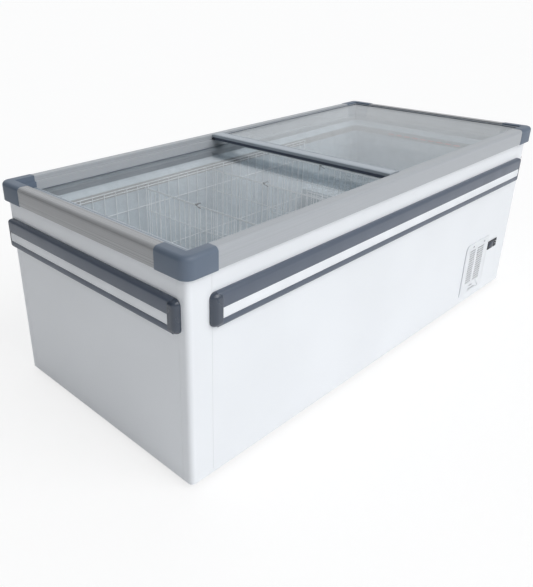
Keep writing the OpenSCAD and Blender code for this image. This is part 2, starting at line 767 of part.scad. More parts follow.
// Distance from the fan's tips to the condenser's ends
fan_margin = 9;
fan_r = cond_l / 2 - fan_margin;
shroud_d = 34;
shroud_hole = fan_r + 4;
module fan_shroud() color(black) difference() {
    block([cond_x, cond_x + cond_l], [fan_y - shroud_back, fan_y + shroud_d], [cond_z, cond_z + cond_h]);
    translate([fan_cx, fan_y + shroud_d + 1, fan_cz]) rotate([90, 0, 0])
        cylinder(h = shroud_d + shroud_back + 2, r = shroud_hole);
}

shaft_r = 4;
motor_r = 36;
motor_l = 52;
// Gap between the shroud and the motor, bridged by three brackets
motor_gap = 8;
bracket_w = 12;
bracket_t = 3;
module fan_motor() color(steel) translate([fan_cx, 0, fan_cz]) rotate([-90, 0, 0]) {
    motor_y = fan_y + shroud_d + motor_gap;
    translate([0, 0, motor_y]) cylinder(h = motor_l, r = motor_r);
    translate([0, 0, fan_y + 10]) cylinder(h = shroud_d, r = shaft_r);
    for (a = [30, 150, 270]) rotate([0, 0, a]) translate([0, -bracket_w / 2, 0]) {
        translate([motor_r - 6, 0, motor_y]) cube([shroud_hole - motor_r + 14, bracket_w, bracket_t]);
        translate([shroud_hole + 1, 0, motor_y - motor_gap]) cube([7, bracket_w, motor_gap + bracket_t]);
    }
}

blade_n = 5;
blade_w = 44;
blade_t = 2.4;
blade_pitch = 28;
hub_r = 24;
hub_l = 26;
hub_end = 3;
module fan_blade() color("#3a3d40") translate([fan_cx, fan_y + 6, fan_cz]) rotate([-90, 0, 0]) difference() {
    union() {
        cylinder(h = hub_l, r = hub_r);
        for (i = [0:blade_n - 1]) rotate([0, 0, i * 360 / blade_n]) translate([hub_r - 6, 0, hub_l / 2])
            rotate([blade_pitch, 0, 0]) translate([0, -blade_w / 2, -blade_t / 2])
                cube([fan_r - hub_r + 4, blade_w, blade_t]);
    }
    translate([0, 0, hub_end]) cylinder(h = hub_l, r = shaft_r + fit_gap);
}

drier_x = comp_x0 + 60;
drier_y = comp_cy - 160;
drier_z = tray_z + 120;
drier_r = 12;
drier_l = 90;
line_r = 4;
module filter_drier() color(copper) translate([drier_x, drier_y, drier_z]) {
    cylinder(h = drier_l, r = drier_r);
    translate([0, 0, drier_l]) cylinder(h = drier_r, r1 = drier_r, r2 = line_r);
    translate([0, 0, -drier_r]) cylinder(h = drier_r, r1 = line_r, r2 = drier_r);
}

function turn(d) = d[2] != 0 ? [d[2] > 0 ? 0 : 180, 0, 0]
    : d[0] != 0 ? [0, d[0] > 0 ? 90 : -90, 0] : [d[1] > 0 ? -90 : 90, 0, 0];

// Tube along points of which each differs from the last along one axis only
module tube_path(points) {
    last = len(points) - 1;
    for (i = [0:last - 1]) let (d = points[i + 1] - points[i])
        translate(points[i]) rotate(turn(d)) cylinder(h = norm(d), r = line_r);
    for (i = [1:last - 1]) translate(points[i]) sphere(line_r);
}

// Discharge line from the compressor to the condenser, and liquid line to the drier
module refrigerant_lines() color(copper) {
    line_z = comp_z + shell_h + 34;
    line_x = cond_x + cond_l + 24;
    port_x = comp_cx - 20;
    port_y = cond_y + 46;
    port_z = cond_z + cond_h - 11;
    low_z = drier_z - 60;
    tube_path([
        [port_x, comp_cy, comp_z + shell_h], [port_x, comp_cy, line_z],
        [line_x, comp_cy, line_z], [line_x, port_y, line_z],
        [line_x, port_y, port_z], [cond_x + cond_l, port_y, port_z],
    ]);
    tube_path([
        [drier_x, drier_y, drier_z - drier_r], [drier_x, drier_y, low_z],
        [drier_x, cond_y + cond_d + 90, low_z],
    ]);
}

probe_r = 3;
clip = [10, 2 * probe_r, 6];
// Sensor bulb on the back wall over the step, with its clip
module temperature_probe() color(steel) translate([step_x + 120, in_y - probe_r, step_z + 60]) {
    cylinder(h = 40, r = probe_r - seat_gap);
    translate([-clip[0] / 2, -probe_r, 12]) cube(clip);
}

// Length of the gland outside and inside the casing
gland_out = 6;
gland_in = 10;
module power_inlet() color(black) translate([gland_x, hy, gland_z]) rotate([-90, 0, 0]) difference() {
    union() {
        cylinder(h = gland_out, r = gland_r + 5);
        translate([0, 0, -gland_in]) cylinder(h = gland_in, r = gland_r);
    }
    translate([0, 0, -gland_in - 1]) cylinder(h = gland_in + gland_out + 2, r = cable_r);
}

// ---------------------------------------------------------------- drain and feet

spout_wall = 2.5;
spout_drop = 9;
module drain_spout() color(black) translate([drain_x, drain_y, base_z]) difference() {
    union() {
        cylinder(h = floor_t, r = spout_r);
        translate([0, 0, -spout_drop]) cylinder(h = spout_drop, r = drain_r);
    }
    translate([0, 0, -spout_drop - 1]) cylinder(h = floor_t + spout_drop + 2, r = drain_r - spout_wall);
}

plug_len = 24;
plug_head = 4;
// Upright pull with a finger hole: thickness, width and height
pull = [4, 16, 14];
module drain_plug() color("#2f3338") translate([drain_x, drain_y, floor_z]) {
    translate([0, 0, -plug_len]) cylinder(h = plug_len, r = drain_r - spout_wall - fit_gap);
    cylinder(h = plug_head, r = drain_r + 5);
    difference() {
        translate([-pull[0] / 2, -pull[1] / 2, plug_head]) cube(pull);
        translate([0, 0, plug_head + pull[2] / 2]) rotate([0, 90, 0]) cylinder(h = 6, r = 4, center = true);
    }
}

pad_h = 5;
nut_h = 7;
nut_r = 11;
module foot(sx, sy) color(black) translate([sx * foot_x, sy * foot_y, 0]) {
    cylinder(h = pad_h, r = pad_r);
    translate([0, 0, pad_h]) cylinder(h = nut_h, r = nut_r, $fn = 6);
    translate([0, 0, pad_h + nut_h]) cylinder(h = base_z + boss_h - 2 - pad_h - nut_h, r = stud_r);
}
module foot_front_left() foot(-1, -1);
module foot_front_right() foot(1, -1);
module foot_back_left() foot(-1, 1);
module foot_back_right() foot(1, 1);

// ---------------------------------------------------------------- grids

// Distance of the upper cross rod below a grid's top
cross_drop = 85;
// Upright sheet of wires l long and h high: upright wires every pitch, rods at the foot, near
// the middle and near the top, and a second rod below the top one where second is true
module wire_sheet(l, h, pitch, second) {
    n = floor((l - wire) / pitch);
    edge = (l - wire - (n - 1) * pitch) / 2;
    heights = concat([0, h * 0.45, h - cross_drop], second ? [h - rod_gap - wire] : [], [h - wire]);
    xs = concat([0], [for (i = [0:n - 1]) edge + i * pitch], [l - wire]);
    rotate([90, 0, 0]) linear_extrude(wire) difference() {
        square([l, h]);
        for (i = [0:len(xs) - 2], j = [0:len(heights) - 2])
            translate([xs[i] + wire, heights[j] + wire])
                square([xs[i + 1] - xs[i] - wire, heights[j + 1] - heights[j] - wire]);
    }
}

grid_gap = 3;
grid_x0 = -in_x + grid_gap;
grid_x1 = step_x - grid_gap;
module wall_grids() color("#eef1f4") {
    long_x0 = -in_x + liner_r;
    long = grid_x1 - wire - 2 - long_x0;
    short = 2 * (in_y - liner_r) - 6;
    for (sy = [0, 1]) mirror([0, sy, 0])
        translate([long_x0, -in_y + grid_gap + wire, floor_z]) wire_sheet(long, grid_h, wall_pitch, true);
    translate([grid_x0, -short / 2, floor_z]) rotate([0, 0, 90]) mirror([0, 1, 0])
        translate([0, wire, 0]) wire_sheet(short, grid_h, wall_pitch, true);
    translate([grid_x1, short / 2, floor_z]) rotate([0, 0, -90]) mirror([0, 1, 0])
        translate([0, wire, 0]) wire_sheet(short, step_z - floor_z - 6, wall_pitch, true);
}

divider_hy = in_y - grid_gap - wire - 1.5;
divider_h = grid_h - rod_gap - 3;
module divider(i) color("#eef1f4") translate([divider_2_x + (i - 2) * divider_step, 0, 0]) {
    translate([-wire / 2, -divider_hy, floor_z]) rotate([0, 0, 90]) mirror([0, 1, 0]) translate([0, wire, 0])
        wire_sheet(2 * divider_hy, divider_h, divider_pitch, false);
}
module divider_1() divider(1);
module divider_2() divider(2);
module divider_3() divider(3);

// ---------------------------------------------------------------- lids

groove = 1.2;
glass_gap = 0.15;
// Outline of a handle rail: X across the rail, Y up, glass slot on the +X side
module handle_profile(slot_z) difference() {
    square([handle_w, handle_h]);
    translate([handle_w - 12, handle_h - groove]) square([2.5, groove + 1]);
    translate([6, handle_h - groove]) square([2, groove + 1]);
    translate([-1, handle_h - 1.5]) rotate([0, 0, 45]) square([4, 4]);
    translate([handle_w - glass_rebate - 2, slot_z - glass_gap])
        square([glass_rebate + 3, glass_t + 2 * glass_gap]);
}

// One lid whose handle rail is at its -X end: half width hy_lid, frame's underside at z = 0
glass_z = frame_h - glass_t - lid_lip;
module lid_handle(hy_lid) translate([0, hy_lid, 0]) rotate([90, 0, 0]) linear_extrude(2 * hy_lid)
    handle_profile(glass_z);

// Distance of the glass, and of the frame's upper lip, inside the frame's outer face
glass_in = 3;
lip_in = 9;
module lid_glass(l, hy_lid)
    block([handle_w - glass_rebate, l - glass_in], [-hy_lid + glass_in, hy_lid - glass_in],
        [glass_z, glass_z + glass_t]);

// Room inside the frame, in mm from its outer face, between two heights
module frame_room(l, hy_lid, inset, z0, z1)
    block([handle_w - 1, l - inset], [-hy_lid + inset, hy_lid - inset], [z0, z1]);

module lid_frame(l, hy_lid) difference() {
    block([handle_w, l], [-hy_lid, hy_lid], [0, frame_h]);
    frame_room(l, hy_lid, frame_w, -1, frame_h + 1);
    frame_room(l, hy_lid, glass_in - 0.2, glass_z - glass_gap, glass_z + glass_t + glass_gap);
    frame_room(l, hy_lid, lip_in, glass_z, frame_h + 1);
}

upper_l = upper_x1 + upper_end;
lower_l = lower_end - lower_x0;
upper_z = upper_top - frame_h;
lower_z = lower_top - frame_h;
module place_upper() translate([-upper_end, 0, upper_z]) children();
module place_lower() translate([lower_x0, 0, lower_z]) children();

module upper_lid_glass() color([0.85, 0.9, 0.92, 0.4]) place_upper() lid_glass(upper_l, upper_hy);
module upper_lid_frame() color(grey) place_upper() lid_frame(upper_l, upper_hy);
module upper_lid_handle() color("#8f9ba8") place_upper() lid_handle(upper_hy);
module lower_lid_glass() color([0.85, 0.9, 0.92, 0.4]) place_lower() lid_glass(lower_l, lower_hy);
module lower_lid_frame() color(grey) place_lower() lid_frame(lower_l, lower_hy);
module lower_lid_handle() color("#8f9ba8") place_lower() lid_handle(lower_hy);

base_tray();
front_panel();
back_panel();
left_panel();
right_panel();
corner_posts();
foam_insulation();
inner_liner();
evaporator_tube();
throat_collar();
rim_front();
rim_back();
rim_left();
rim_right();
cap_front_left();
cap_front_right();
cap_back_left();
cap_back_right();
bumper_front();
bumper_back();
bumper_left();
bumper_right();
bumper_inserts();
bumper_end_caps();
vent_grille();
rear_grille();
controller_housing();
controller_window();
button_set();
button_up();
button_down();
compressor();
compressor_grommets();
terminal_box();
condenser();
fan_shroud();
fan_motor();
fan_blade();
filter_drier();
refrigerant_lines();
temperature_probe();
power_inlet();
drain_spout();
drain_plug();
wall_grids();
divider_1();
divider_2();
divider_3();
lower_lid_glass();
lower_lid_frame();
lower_lid_handle();
upper_lid_glass();
upper_lid_frame();
upper_lid_handle();
foot_front_left();
foot_front_right();
foot_back_left();
foot_back_right();
screws();
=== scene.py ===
"""Island chest freezer: the finished surfaces of its casing, rim, bumpers, lids, grids and machine."""

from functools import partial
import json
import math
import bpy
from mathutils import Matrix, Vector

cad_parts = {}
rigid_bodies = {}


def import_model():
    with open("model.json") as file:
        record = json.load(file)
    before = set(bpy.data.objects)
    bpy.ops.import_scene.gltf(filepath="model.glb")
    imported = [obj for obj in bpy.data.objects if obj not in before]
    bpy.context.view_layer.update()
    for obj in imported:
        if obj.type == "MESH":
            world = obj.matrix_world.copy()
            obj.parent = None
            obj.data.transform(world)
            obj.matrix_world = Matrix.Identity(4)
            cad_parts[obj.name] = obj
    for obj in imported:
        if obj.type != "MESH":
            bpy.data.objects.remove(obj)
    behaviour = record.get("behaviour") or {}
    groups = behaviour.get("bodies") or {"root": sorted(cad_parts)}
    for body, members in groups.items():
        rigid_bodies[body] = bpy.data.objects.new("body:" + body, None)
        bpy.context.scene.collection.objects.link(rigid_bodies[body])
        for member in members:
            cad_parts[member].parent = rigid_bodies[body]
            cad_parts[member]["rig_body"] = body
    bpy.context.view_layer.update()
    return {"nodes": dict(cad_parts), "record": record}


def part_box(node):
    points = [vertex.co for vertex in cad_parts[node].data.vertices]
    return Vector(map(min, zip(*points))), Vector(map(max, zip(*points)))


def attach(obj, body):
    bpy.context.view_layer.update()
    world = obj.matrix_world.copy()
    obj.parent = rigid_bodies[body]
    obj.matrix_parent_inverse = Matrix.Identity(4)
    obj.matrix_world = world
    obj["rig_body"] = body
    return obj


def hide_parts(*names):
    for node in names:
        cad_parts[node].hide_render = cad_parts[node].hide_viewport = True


bl_info = {
    "name": "Island chest freezer",
    "version": (1, 0, 0),
    "blender": (4, 5, 0),
    "location": "3D View > Sidebar > Freezer",
    "description": "Builds the finished pieces of an island chest freezer round its measured frame",
    "category": "Add Mesh",
}

import bmesh
import bpy
from bpy.props import FloatProperty, FloatVectorProperty, IntProperty, PointerProperty
from mathutils import Matrix, Vector

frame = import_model()

# A millimetre in metres
MM = 0.001


# ---------------------------------------------------------------- sizes and colours


def linear(red, green, blue):
    """A display colour, 0 to 255, as the linear colour that shaders use."""
    return tuple(((c / 255 + 0.055) / 1.055) ** 2.4 if c > 10 else c / 255 / 12.92 for c in (red, green, blue))


def amount(name, description, value, **more):
    return FloatProperty(name=name, description=description, default=value, **more)


def length(name, description, millimetres):
    """A size property, in metres."""
    return amount(name, description, millimetres * MM, unit="LENGTH", precision=4)


def turn(name, description, degrees):
    """An angle property."""
    return amount(name, description, math.radians(degrees), unit="ROTATION")


def colour(name, description, *display):
    """A colour property from a display colour, 0 to 255."""
    return FloatVectorProperty(name=name, description=description, default=linear(*display), size=3,
                               min=0, max=1, subtype="COLOR")


class StageSettings(bpy.types.PropertyGroup):
    camera_place: FloatVectorProperty(name="Camera place", description="Where the camera stands",
                                      default=(-1.792, -1.396, 1.255), size=3, subtype="XYZ", unit="LENGTH")
    camera_heading: turn("Heading", "Turn of the camera to the right of +Y", 43.28)
    camera_dip: turn("Dip", "How far the camera looks down", 25.76)
    camera_roll: turn("Roll", "Lean of the camera to the left", -0.73)
    focal_length: amount("Focal length", "Focal length in millimetres on a 36 mm sensor", 38.96)
    shift_right: amount("Shift right", "Framing shift to the right", 0.1032)
    shift_up: amount("Shift up", "Framing shift upwards", -0.0203)
    sky_level: amount("Sky level", "Light from the horizon", 0.1)
    sky_top: amount("Sky top", "Light added overhead", 0.35)
    sky_front: amount("Sky front", "Light added from the front", 0.22)
    sky_back: amount("Sky back", "Light added from behind and to the right", 0.62)
    sun_strength: amount("Sun strength", "Soft key light from the front right", 1.45)
    sun_softness: turn("Sun softness", "Width of the key light", 50)
    glint_power: amount("Glint power", "Power of the small panel that glints on the edges, in watts", 9)
    floor_glow: amount("Floor glow", "Light that the pale floor gives off", 0.06)


class FinishColours(bpy.types.PropertyGroup):
    paint: colour("Paint", "Enamel of the casing", 237, 240, 244)
    liner: colour("Liner", "Enamel of the tub", 188, 198, 206)
    # Painted shade: this warm grey band stands in for the shade under the rim
    liner_shade_band: colour("Liner band", "Warm grey band round the top of the tub", 138, 130, 125)
    rim: colour("Rim", "Rim extrusion", 174, 178, 183)
    # Painted shade: the end rims' colour is darker than the long rims' so that the freezer's ends look shaded
    end_rim_shaded: colour("End rim", "Rim extrusion at the ends", 166, 167, 169)
    cap: colour("Cap", "Moulded corner caps", 97, 110, 127)
    bumper: colour("Bumper", "Bumper rails", 80, 90, 106)
    pill: colour("Bumper end", "Bumper end caps", 62, 71, 85)
    insert: colour("Insert", "White bumper inserts", 236, 239, 243)
    collar: colour("Collar", "Plastic collar under the rim", 140, 143, 148)
    handle: colour("Handle", "Handle rails of the lids", 174, 183, 192)
    lid_frame: colour("Lid frame", "Slim frames of the lids", 164, 171, 178)
    seal: colour("Seal", "Rubber seals of the lids", 66, 75, 90)
    wire: colour("Wire", "Coated grid wires", 249, 250, 252)
    load_line: colour("Load line", "Plain line on the liner", 206, 96, 74)


class RimSizes(bpy.types.PropertyGroup):
    edge: length("Edge radius", "Radius of the rim's outer top edge", 13)
    top: length("Top width", "Width of the rim's top", 35.5)
    ledge: length("Ledge width", "Width of each lid ledge", 8.5)
    upper: length("Upper ledge", "Depth of the upper lid's ledge", 17.3)
    lower: length("Lower ledge", "Depth of the lower lid's ledge", 54.3)
    under: length("Ledge thickness", "Thickness under the lower ledge", 5)
    face: length("Face height", "Height of the rim's outer face", 57.5)
    skirt: length("Skirt", "Distance of the panel slot inside the outer face", 13.5)
    slot: length("Slot", "Width of the panel slot", 2)
    cap_proud: length("Cap proud", "How far a corner cap stands proud", 1)
    cap_drop: length("Cap drop", "How far a corner cap reaches below the rim", 2)
    cap_corner: length("Cap corner", "Plan radius of a corner cap", 28)
    cap_bevel: length("Cap bevel", "Rounding of a corner cap's ends", 3.6)
    line_depth: length("Line depth", "Depth of the extruded lines", 0.35)
    line_width: length("Line width", "Width of the extruded lines", 0.9)


class BumperSizes(bpy.types.PropertyGroup):
    proud: length("Proud", "How far a rail stands out", 15)
    low_edge: length("Lower edge", "Radius of the lower edge", 8)
    top_edge: length("Upper edge", "Radius of the upper edge", 12)
    insert_low: length("Insert height", "Height of the insert above the rail's foot", 21)
    insert_high: length("Insert width", "Height of the white insert", 30)
    channel: length("Channel", "Depth of the insert's channel", 6)
    sunk: length("Sunk", "How far the insert lies below the rail's face", 0.5)
    pill: length("Pill", "Length of a pill-shaped end cap", 35)
    pill_round: length("Pill rounding", "Rounding of a pill's free sides", 17)
    pill_rail_round: length("Pill rail rounding", "Rounding of a pill's side towards its rail", 5)
    pill_proud: length("Pill proud", "How far a pill stands out beyond its rail", 3)
    tuck: length("Tuck", "How far a rail runs in under its pill", 16)
    plate: length("Plate", "Thickness of a plain end plate", 5)
    end_round: length("End rounding", "Rounding of a rail's plain end", 13)


class LidSizes(bpy.types.PropertyGroup):
    handle: length("Handle width", "Width of a handle rail", 58)
    frame: length("Frame width", "Width of the slim frame", 12)
    lip: length("Lip", "Width of the frame's upper lip", 9)
    glass_low: length("Glass underside", "Height of the glass above the lid's foot", 7.35)
    glass_high: length("Glass top", "Height of the glass's top above the lid's foot", 11.65)
    glass_in: length("Glass inset", "Distance of the glass inside the outer face", 2.8)
    seal: length("Seal", "Thickness of the rubber seals", 0.7)
    plug: length("Plug", "Thickness of a handle's end plugs", 4)


class GridSizes(bpy.types.PropertyGroup):
    wire: length("Wire", "Diameter of the wires", 3)
    wall_pitch: length("Wall pitch", "Distance between the upright wires of the walls", 48)
    divider_pitch: length("Divider pitch", "Distance between the upright wires of a divider", 26)
    cross_drop: length("Cross rod", "Distance of the upper cross rod below the top", 85)
    rod_gap: length("Second rod", "Distance of the second rod below the top one", 11)
    weld: length("Weld", "Distance between the two layers of wires", 1.2)
    clip: length("Clip", "Distance of a divider's clip behind the middle", 73)
    sides: IntProperty(name="Sides", description="Faces round a wire", default=8, min=6, max=24)


class FittingSizes(bpy.types.PropertyGroup):
    slots: IntProperty(name="Slots", description="Slots in each column of the vent grille", default=14)
    slot_pitch: length("Slot pitch", "Distance between slots", 10.7)
    slot_height: length("Slot height", "Height of a slot", 4.6)
    slot_drop: length("Slot drop", "Distance of the first slot below the grille's top", 30)
    screw_head: length("Screw head", "Radius of a screw's head", 4)
    fin_pitch: length("Fin pitch", "Distance between the condenser's fins", 3)
    fin: length("Fin", "Thickness of a fin", 0.4)


# ---------------------------------------------------------------- shaders


def add_node(tree, kind, inputs=None, **settings):
    """A node with its settings. Each input is linked or set; a list fills an input that takes several."""
    node = tree.nodes.new(kind)
    for key, value in settings.items():
        setattr(node, key, value)
    for key, value in (inputs or {}).items():
        for one in value if isinstance(value, list) else [value]:
            if isinstance(one, bpy.types.NodeSocket):
                tree.links.new(one, node.inputs[key])
            else:
                node.inputs[key].default_value = one
    return node


def rgba(value):
    """A socket as it is, or a colour with full cover."""
    return value if isinstance(value, bpy.types.NodeSocket) else (*value[:3], 1)


class Shade:
    """A material under construction. Patterns read the piece's own Object coordinates, in metres."""

    def __init__(self, name):
        self.material = bpy.data.materials.new(name)
        self.material.use_nodes = True
        self.tree = self.material.node_tree
        self.tree.nodes.clear()
        self.place = self.add("ShaderNodeTexCoord").outputs["Object"]

    def add(self, kind, inputs=None, **settings):
        return add_node(self.tree, kind, inputs, **settings)

    def noise(self, size, stretch=(1, 1, 1), detail=2.0, roughness=0.5):
        """Noise whose features are about size across, stretched along the axes given."""
        mapped = self.add("ShaderNodeMapping", {"Vector": self.place, "Scale": tuple(1 / s for s in stretch)})
        settings = {"Vector": mapped.outputs[0], "Scale": 1 / size, "Detail": detail, "Roughness": roughness}
        return self.add("ShaderNodeTexNoise", settings).outputs["Fac"]

    def cells(self, size):
        return self.add("ShaderNodeTexVoronoi", {"Vector": self.place, "Scale": 1 / size})

    def axis(self, letter):
        return self.add("ShaderNodeSeparateXYZ", {"Vector": self.place}).outputs[letter]

    def spread(self, value, low, high, to_low=0.0, to_high=1.0):
        """value between low and high, spread smoothly between to_low and to_high."""
        settings = {"Value": value, "From Min": low, "From Max": high, "To Min": to_low, "To Max": to_high}
        return self.add("ShaderNodeMapRange", settings, interpolation_type="SMOOTHSTEP").outputs["Result"]

    def times(self, first, second):
        return self.add("ShaderNodeMath", {0: first, 1: second}, operation="MULTIPLY").outputs[0]

    def blend(self, factor, first, second):
        """Between two colours, by factor."""
        inputs = {0: factor, 6: rgba(first), 7: rgba(second)}
        return self.add("ShaderNodeMix", inputs, data_type="RGBA").outputs[2]

    def bump(self, height, depth, strength=1.0):
        settings = {"Height": height, "Distance": depth, "Strength": strength}
        return self.add("ShaderNodeBump", settings).outputs["Normal"]

    def principled(self, base, roughness, normal=None, **constants):
        """A surface. constants are socket names, with _ for a space, and their fixed values."""
        inputs = {"Base Color": rgba(base), "Roughness": roughness}
        if normal is not None:
            inputs["Normal"] = normal
        inputs.update({key.replace("_", " "): value for key, value in constants.items()})
        return self.add("ShaderNodeBsdfPrincipled", inputs).outputs[0]

    def done(self, shader):
        self.add("ShaderNodeOutputMaterial", {"Surface": shader})
        return self.material


def scaled(colour, factor):
    return tuple(min(1.0, c * factor) for c in colour)


def enamel(name, colour, roughness=0.3):
    """Enamelled sheet: a faint orange peel, slightly uneven tone and gloss, and a few light scuffs."""
    s = Shade(name)
    base = s.blend(s.spread(s.noise(0.5), 0.35, 0.65), scaled(colour, 0.965), colour)
    scuffs = s.spread(s.noise(0.02, stretch=(6, 6, 1), detail=4), 0.66, 0.72, roughness, roughness + 0.16)
    peel = s.bump(s.noise(0.0035, detail=1), 0.00012, 0.35)
    return s.done(s.principled(base, scuffs, peel, Coat_Weight=0.35, Coat_Roughness=0.12))


def tub_enamel(name, colour, band):
    """Enamel of the tub, with painted shade as a warm grey band round its top edge under the rim, and a matt
    film of frost lower down.
    """
    s = Shade(name)
    height = s.axis("Z")
    above = s.spread(height, 0.563, 0.569)
    below = s.spread(height, 0.594, 0.590)
    base = s.blend(s.spread(s.noise(0.3), 0.35, 0.65), scaled(colour, 0.95), colour)
    # Painted shade: between these heights, under the rim, the liner is darkened to the band colour
    base = s.blend(s.times(s.times(above, below), 0.85), base, band)
    frost = s.spread(s.noise(0.06, detail=5), 0.45, 0.75, 0.26, 0.5)
    return s.done(s.principled(base, frost, s.bump(s.noise(0.004, detail=1), 0.00012, 0.35)))


def extruded(name, colour, along, metallic=0.0, roughness=0.36):
    """Extrusion with fine drawn lines along its length and a soft sheen."""
    s = Shade(name)
    stretch = tuple(900 if axis == along else 1 for axis in "XYZ")
    lines = s.noise(0.0016, stretch=stretch, detail=3)
    broad = s.noise(0.009, stretch=stretch, detail=1)
    base = s.blend(s.spread(lines, 0.3, 0.7), scaled(colour, 0.93), scaled(colour, 1.03))
    base = s.blend(s.spread(broad, 0.5, 0.75, 0.0, 0.3), base, scaled(colour, 0.92))
    rough = s.spread(lines, 0.3, 0.7, roughness - 0.05, roughness + 0.07)
    normal = s.bump(lines, 0.00008, 0.5)
    return s.done(s.principled(base, rough, normal, Metallic=metallic, Coat_Weight=0.15, Coat_Roughness=0.2))


def moulded(name, colour, roughness=0.34, grain=0.0011, depth=0.00006, coat=0.2):
    """Injection-moulded plastic: fine spark grain, and edges rubbed a little smoother and paler."""
    s = Shade(name)
    fine = s.noise(grain, detail=2)
    rubbed = s.spread(s.noise(0.11, detail=5), 0.3, 0.75)
    base = s.blend(rubbed, scaled(colour, 0.97), scaled(colour, 1.04))
    rough = s.spread(rubbed, 0, 1, roughness + 0.03, roughness - 0.03)
    normal = s.bump(fine, depth, 0.6)
    return s.done(s.principled(base, rough, normal, Coat_Weight=coat, Coat_Roughness=0.18))


def zinc_sheet(name):
    """Galvanised sheet with spangle."""
    s = Shade(name)
    spangle = s.cells(0.011).outputs["Color"]
    grey = s.add("ShaderNodeRGBToBW", {"Color": spangle}).outputs[0]
    base = s.blend(grey, linear(150, 154, 158), linear(198, 201, 204))
    rough = s.spread(grey, 0, 1, 0.28, 0.5)
    return s.done(s.principled(base, rough, s.bump(s.noise(0.004), 0.00005), Metallic=0.9))


def bare_metal(name, colour, roughness=0.32, tarnish=(120, 110, 100)):
    """Tube, shaft or fastener metal with patches of tarnish."""
    s = Shade(name)
    patch = s.spread(s.noise(0.03, detail=5), 0.5, 0.75, 0, 0.55)
    base = s.blend(patch, colour, linear(*tarnish))
    rough = s.spread(s.noise(0.004, detail=3), 0.3, 0.7, roughness - 0.05, roughness + 0.12)
    return s.done(s.principled(base, rough, s.bump(s.noise(0.0015), 0.00004), Metallic=0.95))


def rubber(name, colour, roughness=0.62):
    s = Shade(name)
    bloom = s.spread(s.noise(0.02, detail=4), 0.45, 0.8, 0, 0.5)
    base = s.blend(bloom, colour, scaled(colour, 1.5))
    return s.done(s.principled(base, roughness, s.bump(s.noise(0.0007), 0.00005, 0.6)))


def rigid_foam(name):
    """Poured foam: tight cells and a skin of uneven tone."""
    s = Shade(name)
    cells = s.cells(0.0022).outputs["Distance"]
    base = s.blend(s.noise(0.04, detail=4), linear(226, 210, 158), linear(240, 229, 190))
    return s.done(s.principled(base, 0.85, s.bump(cells, 0.0005, 0.7)))


def wire_enamel(name, colour):
    """Dipped wire: thick glossy coat that is uneven along the wire."""
    s = Shade(name)
    base = s.blend(s.spread(s.noise(0.03, detail=3), 0.4, 0.7), colour, scaled(colour, 0.93))
    normal = s.bump(s.noise(0.004, detail=1), 0.00015, 0.5)
    return s.done(s.principled(base, 0.25, normal, Coat_Weight=0.4, Coat_Roughness=0.1))


def lid_glass(name):
    """Clear toughened glass that lets light straight through, with a film of handling marks."""
    s = Shade(name)
    clear = s.add("ShaderNodeBsdfTransparent", {"Color": (0.955, 0.967, 0.97, 1)}).outputs[0]
    smear = s.spread(s.noise(0.16, stretch=(1, 2.4, 1), detail=6, roughness=0.62), 0.4, 0.72, 0.02, 0.09)
    film = s.add("ShaderNodeBsdfDiffuse", {"Color": (0.82, 0.86, 0.9, 1)}).outputs[0]
    hazed = s.add("ShaderNodeMixShader", {0: smear, 1: clear, 2: film}).outputs[0]
    gloss = s.principled((0.9, 0.92, 0.94), 0.03, Metallic=1.0)
    facing = s.add("ShaderNodeLayerWeight", {"Blend": 0.5}).outputs["Facing"]
    steep = s.add("ShaderNodeMath", {0: facing, 1: 4.0}, operation="POWER").outputs[0]
    mirrored = s.spread(steep, 0, 1, 0.04, 0.9)
    return s.done(s.add("ShaderNodeMixShader", {0: mirrored, 1: hazed, 2: gloss}).outputs[0])


def display_glass(name):
    """Smoked display window over an unlit panel."""
    s = Shade(name)
    base = s.blend(s.spread(s.noise(0.006), 0.4, 0.6), linear(30, 38, 54), linear(48, 58, 78))
    return s.done(s.principled(base, 0.3, s.bump(s.noise(0.01), 0.00002), Specular_IOR_Level=0.25,
                               Coat_Weight=0.1, Coat_Roughness=0.1))


def floor_finish(name, glow):
    """A pale studio floor with a little light of its own, that the camera sees nearly white."""
    s = Shade(name)
    base = s.blend(s.noise(0.8, detail=3), (0.93, 0.93, 0.93), (0.96, 0.96, 0.96))
    lit = s.principled(base, 0.7, Emission_Color=(1, 1, 1, 1), Emission_Strength=glow, Specular_IOR_Level=0.2)
    white = s.add("ShaderNodeEmission", {"Color": (1, 1, 1, 1), "Strength": 1.04}).outputs[0]
    seen = s.times(s.add("ShaderNodeLightPath").outputs["Is Camera Ray"], 0.7)
    return s.done(s.add("ShaderNodeMixShader", {0: seen, 1: lit, 2: white}).outputs[0])


# ---------------------------------------------------------------- meshes


def arc(across, up, radius, start, end, steps=8):
    """Points round an arc, from one angle in degrees to another."""
    angles = [math.radians(start + (end - start) * i / steps) for i in range(steps + 1)]
    return [(across + radius * math.cos(a), up + radius * math.sin(a)) for a in angles]


def rounded_outline(corners, steps=5):
    """A closed outline of (across, up, radius) corners, each rounded by its own radius."""
    points = []
    for i, (x, y, radius) in enumerate(corners):
        here = Vector((x, y))
        if radius == 0:
            points.append((x, y))
            continue
        before = (Vector(corners[i - 1][:2]) - here).normalized()
        after = (Vector(corners[(i + 1) % len(corners)][:2]) - here).normalized()
        half = before.angle(after) / 2
        start = here + before * (radius / math.tan(half))
        end = here + after * (radius / math.tan(half))
        centre = here + (before + after).normalized() * (radius / math.sin(half))
        first, last = start - centre, end - centre
        turn = math.atan2(first.x * last.y - first.y * last.x, first.dot(last))
        for k in range(steps + 1):
            spot = centre + Matrix.Rotation(turn * k / steps, 2) @ first
            points.append((spot.x, spot.y))
    return points


def rounded_rectangle(left, low, right, high, radii, steps=4):
    """A rectangle from its lower left corner by its lower right one, with one radius or one for each corner."""
    if not isinstance(radii, tuple):
        radii = (radii,) * 4
    corners = ((left, low), (right, low), (right, high), (left, high))
    return rounded_outline([(*corner, radius) for corner, radius in zip(corners, radii)], steps)


